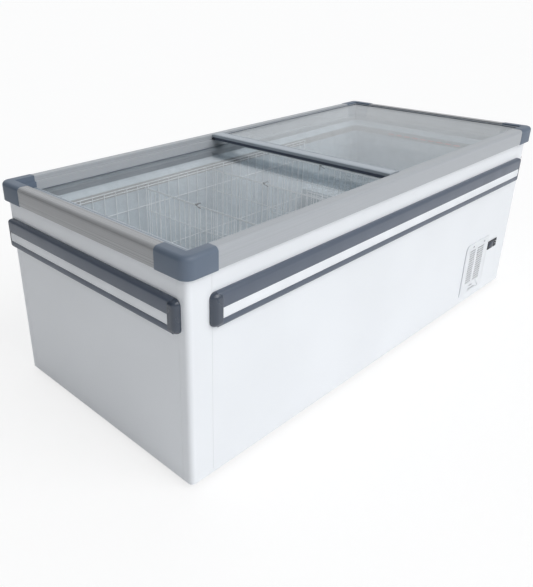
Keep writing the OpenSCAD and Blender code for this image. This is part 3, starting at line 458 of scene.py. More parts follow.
def new_mesh(name, bm):
    """A mesh of what the bmesh holds, which is freed."""
    mesh = bpy.data.meshes.new(name)
    bm.to_mesh(mesh)
    bm.free()
    return mesh


def new_object(name, data):
    """An object in the scene that shows the data."""
    obj = bpy.data.objects.new(name, data)
    bpy.context.scene.collection.objects.link(obj)
    return obj


def evaluated_mesh(obj):
    """A mesh of what the object shows with its modifiers."""
    bpy.context.view_layer.update()
    return bpy.data.meshes.new_from_object(obj.evaluated_get(bpy.context.evaluated_depsgraph_get()))


class Shell:
    """Closed solids gathered into one mesh."""

    def __init__(self):
        self.bm = bmesh.new()

    def loft(self, rings, looped=False):
        """A solid through rings of points that all have the same count."""
        rows = [[self.bm.verts.new(point) for point in ring] for ring in rings]
        pairs = list(zip(rows, rows[1:]))
        if looped:
            pairs.append((rows[-1], rows[0]))
        for row, following in pairs:
            for i in range(len(row)):
                j = (i + 1) % len(row)
                self.bm.faces.new((row[i], row[j], following[j], following[i]))
        if not looped:
            self.bm.faces.new(rows[0])
            self.bm.faces.new(rows[-1])

    def prism(self, outline, place, *stations):
        """An outline carried to each station: place(across, up, station) gives the point."""
        self.loft([[place(across, up, station) for across, up in outline] for station in stations])

    def block(self, low, high, rounding=0.0):
        """A box, with its upright edges rounded."""
        outline = rounded_rectangle(*low[:2], *high[:2], rounding)
        self.prism(outline, lambda x, y, z: Vector((x, y, z)), low[2], high[2])

    def lathe(self, outline, place, steps=48):
        """An outline of (radius, height) points turned round an axis: place(x, y, height) gives the point."""
        rings = []
        for i in range(steps):
            angle = 2 * math.pi * i / steps
            rings.append([place(r * math.cos(angle), r * math.sin(angle), h) for r, h in outline])
        self.loft(rings, looped=True)

    def tube(self, points, radius, sides=12):
        """A round tube along points."""
        path = [Vector(p) for p in points]
        rings = []
        side = None
        for i, point in enumerate(path):
            ahead = (path[min(i + 1, len(path) - 1)] - path[max(i - 1, 0)]).normalized()
            if side is None:
                side = ahead.orthogonal().normalized()
            side = (side - ahead * side.dot(ahead)).normalized()
            other = ahead.cross(side)
            turns = [2 * math.pi * k / sides for k in range(sides)]
            rings.append([point + (side * math.cos(a) + other * math.sin(a)) * radius for a in turns])
        self.loft(rings)

    def object(self, name):
        """The solids as an object in the scene, their faces outwards."""
        bmesh.ops.recalc_face_normals(self.bm, faces=self.bm.faces)
        return new_object(name, new_mesh(name, self.bm))

    def piece(self, name, finish, body, slot, *nodes, sharp=32, bevel=0.0, segments=3):
        """The finished piece: doubles merged, faces outwards, riding on its body."""
        bmesh.ops.remove_doubles(self.bm, verts=self.bm.verts, dist=1e-7)
        obj = self.object(name)
        if bevel:
            soften(obj, bevel, segments)
        return settle(obj, finish, body, slot, *nodes, sharp=sharp)


def soften(obj, width, segments=2, angle=30):
    """Rounds a piece's sharp edges for good."""
    modifier = obj.modifiers.new("Soft edges", "BEVEL")
    modifier.width = width
    modifier.segments = segments
    modifier.limit_method = "ANGLE"
    modifier.angle_limit = math.radians(angle)
    modifier.miter_outer = "MITER_ARC"
    make_plain(obj)


def make_plain(obj):
    """Turns what a piece's modifiers show into its mesh."""
    mesh = evaluated_mesh(obj)
    obj.modifiers.clear()
    obj.data = mesh


def settle(obj, finish, body, slot, *nodes, sharp=32):
    """Gives a finished piece its shading, material and body, and hides the CAD nodes it stands for. Its slot is
    not used.
    """
    mesh = obj.data
    mesh.shade_smooth()
    mesh.set_sharp_from_angle(angle=math.radians(sharp))
    mesh.materials.clear()
    mesh.materials.append(finish)
    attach(obj, body)
    if nodes:
        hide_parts(*nodes)
    return obj


def rounded_copy(node, name, finish, width, segments=2, sharp=32):
    """A copy of a CAD node with rounded edges, which then stands for it."""
    source = frame["nodes"][node]
    bm = bmesh.new()
    bm.from_mesh(source.data)
    bmesh.ops.remove_doubles(bm, verts=bm.verts, dist=2e-6)
    bmesh.ops.dissolve_limit(bm, angle_limit=math.radians(0.5), verts=bm.verts, edges=bm.edges)
    obj = new_object(name, new_mesh(name, bm))
    soften(obj, width, segments)
    return settle(obj, finish, source["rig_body"], node_slot(node), node, sharp=sharp)


def node_slot(node):
    """The record's material slot of a CAD node."""
    for part in frame["record"]["subparts"]:
        if part["node"] == node:
            return part["material_slot"]
    raise RuntimeError(f"no slot is recorded for {node}")


def coat(finish, *nodes):
    """Gives CAD nodes a finish."""
    for node in nodes:
        mesh = frame["nodes"][node].data
        mesh.materials.clear()
        mesh.materials.append(finish)


class Geometry:
    """A geometry node tree under construction."""

    def __init__(self, name):
        self.tree = bpy.data.node_groups.new(name, "GeometryNodeTree")
        self.tree.interface.new_socket("Geometry", in_out="INPUT", socket_type="NodeSocketGeometry")
        self.tree.interface.new_socket("Geometry", in_out="OUTPUT", socket_type="NodeSocketGeometry")
        self.given = self.tree.nodes.new("NodeGroupInput")
        self.identifiers = {}

    def size(self, name, kind="NodeSocketFloat"):
        """A named input, as the socket that carries it."""
        socket = self.tree.interface.new_socket(name, in_out="INPUT", socket_type=kind)
        self.identifiers[name] = socket.identifier
        return self.given.outputs[name]

    def add(self, kind, inputs=None, output=0, **settings):
        return add_node(self.tree, kind, inputs, **settings).outputs[output]

    def vector(self, x, y, z):
        return self.add("ShaderNodeCombineXYZ", {0: x, 1: y, 2: z})

    def math(self, operation, first, second):
        return self.add("ShaderNodeMath", {0: first, 1: second}, operation=operation)

    def row(self, count, start, offset):
        """Points in a row."""
        return self.add("GeometryNodeMeshLine", {"Count": count, "Start Location": start, "Offset": offset},
                        mode="OFFSET")

    def copies(self, points, instance, rotation=(0, 0, 0)):
        """The instance at each point."""
        return self.add("GeometryNodeInstanceOnPoints",
                        {"Points": points, "Instance": instance, "Rotation": rotation})

    def done(self, geometry):
        """Ends the tree in Realize Instances and Set Material."""
        real = self.add("GeometryNodeRealizeInstances", {0: geometry})
        finish = self.size("Finish", "NodeSocketMaterial")
        painted = self.add("GeometryNodeSetMaterial", {"Geometry": real, "Material": finish})
        out = self.tree.nodes.new("NodeGroupOutput")
        self.tree.links.new(painted, out.inputs[0])
        return self

    def run(self, name, points, finish, **values):
        """The tree's result on loose points, as an object with a plain mesh."""
        mesh = bpy.data.meshes.new(name)
        mesh.from_pydata([tuple(p) for p in points], [], [])
        obj = new_object(name, mesh)
        modifier = obj.modifiers.new(name, "NODES")
        modifier.node_group = self.tree
        modifier[self.identifiers["Finish"]] = finish
        for key, value in values.items():
            modifier[self.identifiers[key.replace("_", " ")]] = value
        make_plain(obj)
        return obj


def welded_grid_tree():
    """Upright wires in a row and cross rods at the heights of the given points, as two layers."""
    g = Geometry("Welded grid")
    names = ("Length", "Height", "First", "Pitch", "Wire", "Weld")
    span, height, first, pitch, wire, weld = [g.size(name) for name in names]
    count, sides = [g.size(name, "NodeSocketInt") for name in ("Count", "Sides")]
    radius, half_up, half_along, front = [g.math("DIVIDE", size, 2.0) for size in (wire, height, span, weld)]
    back = g.math("DIVIDE", weld, -2.0)
    upright = g.add("GeometryNodeMeshCylinder", {"Vertices": sides, "Radius": radius, "Depth": height})
    inner = g.row(count, g.vector(first, back, half_up), g.vector(pitch, 0.0, 0.0))
    ends = g.row(2, g.vector(radius, back, half_up), g.vector(g.math("SUBTRACT", span, wire), 0.0, 0.0))
    uprights = g.copies(g.add("GeometryNodeJoinGeometry", {0: [inner, ends]}), upright)
    rod = g.add("GeometryNodeMeshCylinder", {"Vertices": sides, "Radius": radius, "Depth": span})
    rows = g.add("GeometryNodeSetPosition", {"Geometry": g.given.outputs[0],
                                             "Offset": g.vector(half_along, front, 0.0)})
    rods = g.copies(rows, rod, (0, math.pi / 2, 0))
    return g.done(g.add("GeometryNodeJoinGeometry", {0: [uprights, rods]}))


def blade_stack_tree():
    """A box repeated at even steps along a direction, tilted about X, at each given point."""
    g = Geometry("Blade stack")
    size, step = [g.size(name, "NodeSocketVector") for name in ("Size", "Step")]
    count = g.size("Count", "NodeSocketInt")
    tilt = g.size("Tilt")
    blade = g.add("GeometryNodeMeshCube", {"Size": size})
    stack = g.copies(g.row(count, (0, 0, 0), step), blade, g.vector(tilt, 0.0, 0.0))
    return g.done(g.copies(g.given.outputs[0], stack))


def scatter_tree():
    """One object set at each point, turned as the input says."""
    g = Geometry("Fasteners")
    source = g.size("Fastener", "NodeSocketObject")
    turned = g.size("Turn", "NodeSocketVector")
    mesh = g.add("GeometryNodeObjectInfo", {"Object": source}, output="Geometry")
    return g.done(g.copies(g.given.outputs[0], mesh, turned))


def gather(name, parts):
    """Several plain objects joined into the first, which takes the name."""
    bm = bmesh.new()
    for part in parts:
        bm.from_mesh(part.data)
    for part in parts:
        bpy.data.objects.remove(part)
    return new_object(name, new_mesh(name, bm))


# ---------------------------------------------------------------- operators


class Maker(bpy.types.Operator):
    """Common ground of the operators: each makes its pieces from the scene's settings"""

    bl_options = {"REGISTER", "UNDO"}

    def execute(self, context):
        settings = context.scene
        self.make(settings, settings.freezer_colours)
        return {"FINISHED"}


class FREEZER_OT_stage(Maker):
    """Camera, soft light and a pale floor"""

    bl_idname = "freezer.stage"
    bl_label = "Stage"

    def make(self, settings, colours):
        stage = settings.freezer_stage
        camera = new_object("camera", bpy.data.cameras.new("camera"))
        camera.matrix_world = (Matrix.Translation(stage.camera_place)
                               @ Matrix.Rotation(-stage.camera_heading, 4, "Z")
                               @ Matrix.Rotation(math.pi / 2 - stage.camera_dip, 4, "X")
                               @ Matrix.Rotation(stage.camera_roll, 4, "Z"))
        camera.data.lens = stage.focal_length
        camera.data.shift_x = stage.shift_right
        camera.data.shift_y = stage.shift_up
        settings.camera = camera
        settings.view_settings.view_transform = "Standard"
        self.light_sky(settings, stage)
        sun = bpy.data.lights.new("key", "SUN")
        sun.energy, sun.angle = stage.sun_strength, stage.sun_softness
        self.light(sun, Vector((0.3, -0.85, 0.8)))
        glint = bpy.data.lights.new("glint", "AREA")
        glint.energy, glint.size = stage.glint_power, 0.6
        place, aim = Vector((-2.2, -2.6, 2.6)), Vector((0, 0, 0.6))
        self.light(glint, place - aim).location = place
        self.board("floor", (-60, -60, -0.02), (60, 60, 0.0), floor_finish("pale_floor", stage.floor_glow))
        dark = Shade("flag_cloth")
        cloth = dark.done(dark.principled((0.03, 0.03, 0.032), 0.9, dark.bump(dark.noise(0.002), 0.0004)))
        flag = self.board("flag", (-2.6, 0.2, 0.02), (-2.58, 3.4, 1.5), cloth)
        flag.visible_camera = False

    def board(self, name, low, high, finish):
        """A flat part of the stage."""
        shell = Shell()
        shell.block(low, high)
        obj = shell.object(name)
        obj.data.materials.append(finish)
        return obj

    def light_sky(self, settings, stage):
        """A studio surround, brightest overhead and in front, that is seen as plain white."""
        world = bpy.data.worlds.new("surround")
        world.use_nodes = True
        settings.world = world
        tree = world.node_tree
        tree.nodes.clear()
        add = partial(add_node, tree)
        heading = add("ShaderNodeSeparateXYZ", {0: add("ShaderNodeTexCoord").outputs["Generated"]})
        up, across, ahead = [heading.outputs[axis] for axis in "ZXY"]
        aside = add("ShaderNodeMath", {0: across, 1: ahead}).outputs[0]
        level = stage.sky_level
        for value, start, end, most, kind in ((up, 0, 1, stage.sky_top, "LINEAR"),
                                              (ahead, 0.2, -0.9, stage.sky_front, "SMOOTHSTEP"),
                                              (aside, 0.25, 1.25, stage.sky_back, "SMOOTHSTEP")):
            part = add("ShaderNodeMapRange", {"Value": value, "From Min": start, "From Max": end,
                                              "To Max": most}, interpolation_type=kind)
            level = add("ShaderNodeMath", {0: part.outputs[0], 1: level}).outputs[0]
        lit = add("ShaderNodeBackground", {"Color": (0.96, 0.98, 1, 1), "Strength": level})
        seen = add("ShaderNodeBackground", {"Color": (1, 1, 1, 1), "Strength": 1.0})
        rays = add("ShaderNodeLightPath")
        mixed = add("ShaderNodeMixShader", {0: rays.outputs["Is Camera Ray"], 1: lit.outputs[0],
                                            2: seen.outputs[0]})
        add("ShaderNodeOutputWorld", {"Surface": mixed.outputs[0]})

    def light(self, data, source):
        """A light that shines from the source's direction."""
        obj = new_object(data.name, data)
        obj.rotation_mode = "QUATERNION"
        obj.rotation_quaternion = source.to_track_quat("Z", "Y")
        return obj


class FREEZER_OT_casing(Maker):
    """Painted casing, tub, foam, tray and the tube round the tub"""

    bl_idname = "freezer.casing"
    bl_label = "Casing and tub"

    def make(self, settings, colours):
        coat(enamel("casing_enamel", colours.paint), "front_panel", "back_panel", "left_panel",
             "right_panel", "corner_posts")
        coat(tub_enamel("liner_enamel", colours.liner, colours.liner_shade_band), "inner_liner")
        coat(zinc_sheet("zinc_sheet"), "base_tray")
        coat(rigid_foam("rigid_foam"), "foam_insulation")
        coat(bare_metal("copper_tube", linear(196, 132, 96), 0.28, (110, 78, 60)), "evaporator_tube")
        coat(moulded("collar_plastic", colours.collar, 0.42), "throat_collar")


def rim_outline(rim, proud=0.0, drop=0.0, lines=True):
    """The rim's outline: distance inwards from the outer face, and height above the top."""
    foot = -rim.face - drop
    points = [(rim.skirt, foot)]
    points += arc(1.8 * MM - proud, foot + 1.8 * MM, 1.8 * MM, -90, -180, 3)
    points += arc(rim.edge - proud, proud - rim.edge, rim.edge, 180, 90, 14)
    if lines:
        half = rim.line_width / 2
        for across in (rim.top - 7 * MM, rim.top - 4.6 * MM):
            points += [(across - half, 0), (across, -rim.line_depth), (across + half, 0)]
    points += arc(rim.top - 1.2 * MM, proud - 1.2 * MM, 1.2 * MM, 90, 0, 4)
    points += wall_lines(rim, rim.top, -5 * MM, -rim.upper + 1 * MM, 3, lines)
    points += [(rim.top, -rim.upper), (rim.top + rim.ledge - 0.6 * MM, -rim.upper)]
    points += arc(rim.top + rim.ledge - 0.6 * MM, -rim.upper - 0.6 * MM, 0.6 * MM, 90, 0, 2)[1:]
    points += wall_lines(rim, rim.top + rim.ledge, -rim.upper - 5 * MM, -rim.lower + 4 * MM, 7, lines)
    inner = rim.top + 2 * rim.ledge
    under = -rim.lower - rim.under
    points += [(rim.top + rim.ledge, -rim.lower), (inner - 0.6 * MM, -rim.lower)]
    points += arc(inner - 0.6 * MM, -rim.lower - 0.6 * MM, 0.6 * MM, 90, 0, 2)[1:]
    points += [(inner, under), (rim.skirt + rim.slot, under), (rim.skirt + rim.slot, -rim.face + 10 * MM),
               (rim.skirt, -rim.face + 10 * MM)]
    return points


def wall_lines(rim, across, start, end, count, lines):
    """Fine lines along an inner wall, between two heights."""
    if not lines:
        return []
    points = []
    for i in range(count):
        up = start + (end - start) * i / (count - 1)
        points += [(across, up + rim.line_width / 2), (across - rim.line_depth, up),
                   (across, up - rim.line_width / 2)]
    return points


class FREEZER_OT_rim(Maker):
    """Rim extrusions with their lid tracks, and the moulded corner caps"""

    bl_idname = "freezer.rim"
    bl_label = "Rim and corner caps"

    def make(self, settings, colours):
        rim = settings.freezer_rim
        outline = rim_outline(rim)
        along_x = extruded("rim_lengthwise", colours.rim, "X")
        # Painted shade: the crosswise rims take the darker end colour, which stands in for the shade on the
        # freezer's ends
        along_y = extruded("rim_crosswise", colours.end_rim_shaded, "Y", metallic=0.15, roughness=0.3)
        for side in ("front", "back", "left", "right"):
            low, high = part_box(f"rim_{side}")
            lengthwise = side in ("front", "back")
            near, inwards = (low, 1) if side in ("front", "left") else (high, -1)

            def place(u, w, t):
                spot = (t, near.y + inwards * u) if lengthwise else (near.x + inwards * u, t)
                return Vector((*spot, high.z + w))

            shell = Shell()
            shell.prism(outline, place, *((low.x, high.x) if lengthwise else (low.y, high.y)))
            shell.piece(f"rim_rail_{side}", along_x if lengthwise else along_y, "cabinet", "rim_extrusion",
                        f"rim_{side}", sharp=24)
        plastic = moulded("cap_plastic", colours.cap, 0.42, coat=0.0)
        for y_side in ("front", "back"):
            for x_side in ("left", "right"):
                self.corner_cap(rim, plastic, x_side, y_side)

    def corner_cap(self, rim, plastic, x_side, y_side):
        """A moulded cap that carries the rim's outline round a corner."""
        node = f"cap_{y_side}_{x_side}"
        front_end, left_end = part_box("rim_front")[1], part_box("rim_left")[1]
        outer_x, outer_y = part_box("rim_right")[1].x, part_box("rim_back")[1].y
        arm_x, arm_y = outer_x - front_end.x, outer_y - left_end.y
        radius = rim.cap_corner
        rings = [lambda u: (arm_x, u), lambda u: (max(radius, u), u)]
        for i in range(1, 12):
            angle = math.radians(90 * i / 12)
            rings.append(lambda u, a=angle: (max(u, radius - (radius - u) * math.sin(a)),
                                             max(u, radius - (radius - u) * math.cos(a)))
                         if u < radius else (u, u))
        rings += [lambda u: (u, max(radius, u)), lambda u: (u, arm_y)]
        flip_x = -1 if x_side == "left" else 1
        flip_y = -1 if y_side == "front" else 1
        outline = rim_outline(rim, rim.cap_proud, rim.cap_drop, lines=False)
        shell = Shell()
        insets = [[(*ring(u), w) for u, w in outline] for ring in rings]
        shell.loft([[Vector((flip_x * (outer_x - x), flip_y * (outer_y - y), front_end.z + w))
                     for x, y, w in ring] for ring in insets])
        bmesh.ops.remove_doubles(shell.bm, verts=shell.bm.verts, dist=1e-6)
        shell.piece(f"corner_{node}", plastic, "cabinet", "cap_plastic", node, bevel=rim.cap_bevel,
                    segments=4, sharp=40)


def bumper_frames():
    """Each side's function from (along, out, up) to a point with its rail's ends, and the rails' height."""
    front_low, front_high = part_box("bumper_front")
    left_low, left_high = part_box("bumper_left")

    def lengthwise(along, out, up, turn=1):
        return Vector((turn * along, turn * (front_high.y - out), front_low.z + up))

    def crosswise(along, out, up, turn=1):
        return Vector((turn * (left_high.x - out), turn * along, front_low.z + up))

    ends, side_ends = (front_low.x, front_high.x), (left_low.y, left_high.y)
    return {"front": (lengthwise, ends), "back": (partial(lengthwise, turn=-1), ends),
            "left": (crosswise, side_ends), "right": (partial(crosswise, turn=-1), side_ends)
            }, front_high.z - front_low.z


class FREEZER_OT_bumpers(Maker):
    """Bumper rails, their white inserts and their end caps"""

    bl_idname = "freezer.bumpers"
    bl_label = "Bumpers"

    def make(self, settings, colours):
        sizes = settings.freezer_bumper
        frames, height = bumper_frames()
        rail = moulded("bumper_plastic", colours.bumper, 0.36, coat=0.3)
        outline = self.rail_outline(sizes, height)
        inserts = Shell()
        ends = Shell()
        for side, (place, (start, end)) in frames.items():
            shell = Shell()
            last = end + sizes.plate
            stations = [last - sizes.end_round * (1 - math.sin(math.radians(9 * i))) for i in range(10)]

            def eased(out, up, t, place=place, last=last):
                inset = self.end_inset(sizes, last - t)
                return place(t, out, min(max(up, inset), height - inset))

            shell.prism(outline, eased, start - sizes.tuck, *[t for t in stations if t < end - 0.5 * MM], end)
            shell.piece(f"bumper_rail_{side}", rail, "cabinet", "bumper_plastic", f"bumper_{side}", sharp=30)
            inserts.prism(self.insert_outline(sizes), lambda out, up, t: place(t, out, up),
                          start - sizes.tuck / 2, end)
            self.pill(ends, sizes, height, place, start)
            plate = self.plate_outline(sizes, height)
            ends.prism(plate, eased, end, *[t for t in stations if t > end + 0.3 * MM])
        inserts.piece("bumper_insert_strips", moulded("insert_plastic", colours.insert, 0.4, coat=0.0),
                      "cabinet", "white_plastic", "bumper_inserts", sharp=30)
        ends.piece("bumper_ends", moulded("pill_plastic", colours.pill, 0.26, coat=0.5), "cabinet",
                   "bumper_cap_plastic", "bumper_end_caps", sharp=50)

    def end_inset(self, sizes, left):
        """How far a rail's upper and lower edges draw in where that much of its length is left."""
        ahead = max(sizes.end_round - max(left, 0), 0)
        return sizes.end_round - math.sqrt(max(sizes.end_round ** 2 - ahead ** 2, 0))

    def rail_outline(self, sizes, height):
        """Distance out from the casing, and height above the rail's foot."""
        out, low, top = sizes.proud, sizes.low_edge, sizes.top_edge
        bead = 1.0 * MM
        floor_out = out - sizes.channel
        channel_top = sizes.insert_low + sizes.insert_high
        points = [(0, 0)]
        points += arc(out - low, low, low, -90, 0, 8)
        points += arc(out - bead, sizes.insert_low - bead, bead, 0, 90, 3)
        points += [(floor_out, sizes.insert_low), (floor_out, channel_top)]
        points += arc(out - bead, channel_top + bead, bead, -90, 0, 3)
        points += arc(out - top, height - top, top, 0, 90, 12)
        return points + [(0, height)]

    def insert_outline(self, sizes):
        """The insert's outline, slightly crowned."""
        gap = 0.3 * MM
        low, high = sizes.insert_low + gap, sizes.insert_low + sizes.insert_high - gap
        base = sizes.proud - sizes.channel
        face = sizes.proud - sizes.sunk
        crown = 0.9 * MM
        steps = 8
        points = [(base, low)]
        for i in range(steps + 1):
            t = i / steps
            points.append((face - crown * (2 * t - 1) ** 2, low + (high - low) * t))
        return points + [(base, high)]

    def plate_outline(self, sizes, height):
        points = [(0, 0)]
        points += arc(sizes.proud - sizes.low_edge, sizes.low_edge, sizes.low_edge, -90, 0, 8)
        points += arc(sizes.proud - sizes.top_edge, height - sizes.top_edge, sizes.top_edge, 0, 90, 10)
        return points + [(0, height)]

    def pill(self, shell, sizes, height, place, end):
        """A bulging cap: its outline draws in as it rises from the casing, least on the rail's side."""
        steps = 12
        reach = sizes.proud + sizes.pill_proud
        angles = [math.pi / 2 * i / steps for i in range(steps + 1)]
        shell.loft([self.pill_ring(sizes, height, place, end, reach * math.sin(a), 1 - math.cos(a))
                    for a in angles])

    def pill_ring(self, sizes, height, place, end, out, drawn):
        free = sizes.pill_round * drawn
        rail = sizes.pill_rail_round * drawn
        least = 0.8 * MM
        corner = max(sizes.pill_round - 0.95 * free, least)
        rail_corner = max(sizes.pill_round * 0.82 - 0.8 * free, least)
        outline = rounded_rectangle(end - sizes.pill + free, free, end - rail, height - free,
                                    (corner, rail_corner, rail_corner, corner), 8)
        return [place(along, out, up) for along, up in outline]


class FREEZER_OT_lids(Maker):
    """Both sliding lids: glass, slim frames, handle rails, end plugs and seals"""

    bl_idname = "freezer.lids"
    bl_label = "Sliding lids"

    def make(self, settings, colours):
        sizes = settings.freezer_lid
        glass = lid_glass("lid_glass")
        handle = extruded("handle_extrusion", colours.handle, "Y", metallic=0.25, roughness=0.32)
        slim = extruded("lid_frame_profile", colours.lid_frame, "X", roughness=0.34)
        seal = rubber("lid_seal", colours.seal, 0.5)
        plug = moulded("handle_plug", scaled(colours.handle, 0.8), 0.4)
        stop = moulded("handle_stop", linear(30, 33, 40), 0.45)
        for lid in ("lower_lid", "upper_lid"):
            coat(glass, f"{lid}_glass")
            self.slim_frame(sizes, lid, slim, seal)
            self.handle_rail(sizes, lid, handle, seal, plug)
            self.handle_stops(lid, stop)

    def frame_outline(self, sizes, height):
        """Distance inwards from the outer face, and height above the lid's foot."""
        low, high = sizes.glass_low, sizes.glass_high
        corners = [(0, 0, 1.0 * MM), (sizes.frame, 0, 0.8 * MM), (sizes.frame, low, 0.8 * MM),
                   (sizes.glass_in, low, 0), (sizes.glass_in, high, 0), (sizes.lip, high, 0.3 * MM),
                   (sizes.lip, height, 0.5 * MM), (0, height, 2.0 * MM)]
        return rounded_outline(corners, 4)

    def slim_frame(self, sizes, lid, finish, rubber_finish):
        low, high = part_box(f"{lid}_frame")

        def around(u, w, station):
            """Front length, right end and back length of the lid, mitred at its corners."""
            near, far, end = low.y + u, high.y - u, high.x - u
            spots = ((low.x, near), (end, near), (end, far), (low.x, far))
            return Vector((*spots[station], low.z + w))

        lip, top = sizes.lip, sizes.glass_high
        strip = rounded_rectangle(-sizes.seal, 2 * MM, 0.4 * MM, 10 * MM, (0.2 * MM, 0, 0, 0.2 * MM), 2)
        left, foot, crest = lip - 0.2 * MM, top - 0.1 * MM, top + 0.9 * MM
        bead = rounded_outline([(left, foot, 0), (lip + 2.2 * MM, foot, 0.2 * MM),
                                (lip + 0.6 * MM, crest, 0.3 * MM), (left, crest, 0)], 2)
        shell = Shell()
        shell.prism(self.frame_outline(sizes, high.z - low.z), around, *range(4))
        shell.piece(f"{lid}_rail", finish, lid, "frame_plastic", f"{lid}_frame", sharp=30)
        for name, outline in (("edge_seal", strip), ("glass_bead", bead)):
            shell = Shell()
            shell.prism(outline, around, *range(4))
            shell.piece(f"{lid}_{name}", rubber_finish, lid, "grommet_rubber")

    def handle_outline(self, sizes, height):
        """Distance from the rail's outer edge, and height above the lid's foot."""
        wide, low, high = sizes.handle, sizes.glass_low, sizes.glass_high
        seat = wide - 8 * MM
        side = 2.0 * MM
        edge, bottom = 0.3 * MM, 0.2 * MM
        floor = height - 1.2 * MM
        corners = [(side, 0, 1.0 * MM), (wide, 0, 1.0 * MM), (wide, low, 0), (seat, low, 0), (seat, high, 0),
                   (wide, high, 0.4 * MM), (wide, height - 2 * MM, 1.6 * MM), (wide - 5 * MM, height, 1.4 * MM)]
        for start, end in ((wide - 9.5 * MM, wide - 12 * MM), (8 * MM, 6 * MM)):
            corners += [(start, height, edge), (start, floor, bottom),
                        (end, floor, bottom), (end, height, edge)]
        return rounded_outline(corners + [(side, height, 2.2 * MM)], 4)

    def handle_stops(self, lid, finish):
        """Small dark end stops low on the handle's outer edge."""
        low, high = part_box(f"{lid}_handle")
        stops = Shell()
        gap, long = 0.1 * MM, 16 * MM
        for start, end in ((low.y + gap, low.y + long), (high.y - long, high.y - gap)):
            stops.block((low.x - 1.2 * MM, start, low.z + 0.4 * MM), (low.x + 2.4 * MM, end, low.z + 7 * MM),
                        0.5 * MM)
        stops.piece(f"{lid}_grip_stops", finish, lid, "black_plastic", bevel=0.4 * MM, segments=2)

    def handle_rail(self, sizes, lid, finish, rubber_finish, plug_finish):
        low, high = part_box(f"{lid}_handle")
        outline = self.handle_outline(sizes, high.z - low.z)

        def place(u, w, t):
            return Vector((low.x + u, t, low.z + w))

        start, end = low.y + sizes.plug, high.y - sizes.plug
        shell = Shell()
        shell.prism(outline, place, start, end)
        shell.piece(f"{lid}_grip", finish, lid, "lid_extrusion", f"{lid}_handle", sharp=30)
        seal = Shell()
        strip = rounded_outline([(0, 0.8 * MM, 0.6 * MM), (2.2 * MM, 0.8 * MM, 0), (2.2 * MM, 10.4 * MM, 0),
                                 (0, 9.6 * MM, 0.8 * MM)], 3)
        seal.prism(strip, place, start, end)
        seal.piece(f"{lid}_grip_seal", rubber_finish, lid, "grommet_rubber")
        plugs = Shell()
        left, right, foot, top = 0.6 * MM, sizes.handle - 0.6 * MM, 0.4 * MM, high.z - low.z - 0.3 * MM
        round_edge = 1.5 * MM
        block = rounded_outline([(left, foot, round_edge), (right, foot, round_edge),
                                 (right, high.z - low.z - 2.4 * MM, round_edge),
                                 (sizes.handle - 6 * MM, top, round_edge), (left, top, 2.2 * MM)], 4)
        plugs.prism(block, place, low.y + 0.2 * MM, start)
        plugs.prism(block, place, end, high.y - 0.2 * MM)
        plugs.piece(f"{lid}_grip_plugs", plug_finish, lid, "black_plastic")


# A divider's clip: its hook's path along the tub's width and up, in millimetres
CLIP_HOOK = ((-12, 9), (-8, 10), (2, 6), (11, 1), (8, -4), (-2, -7), (-10, -8))


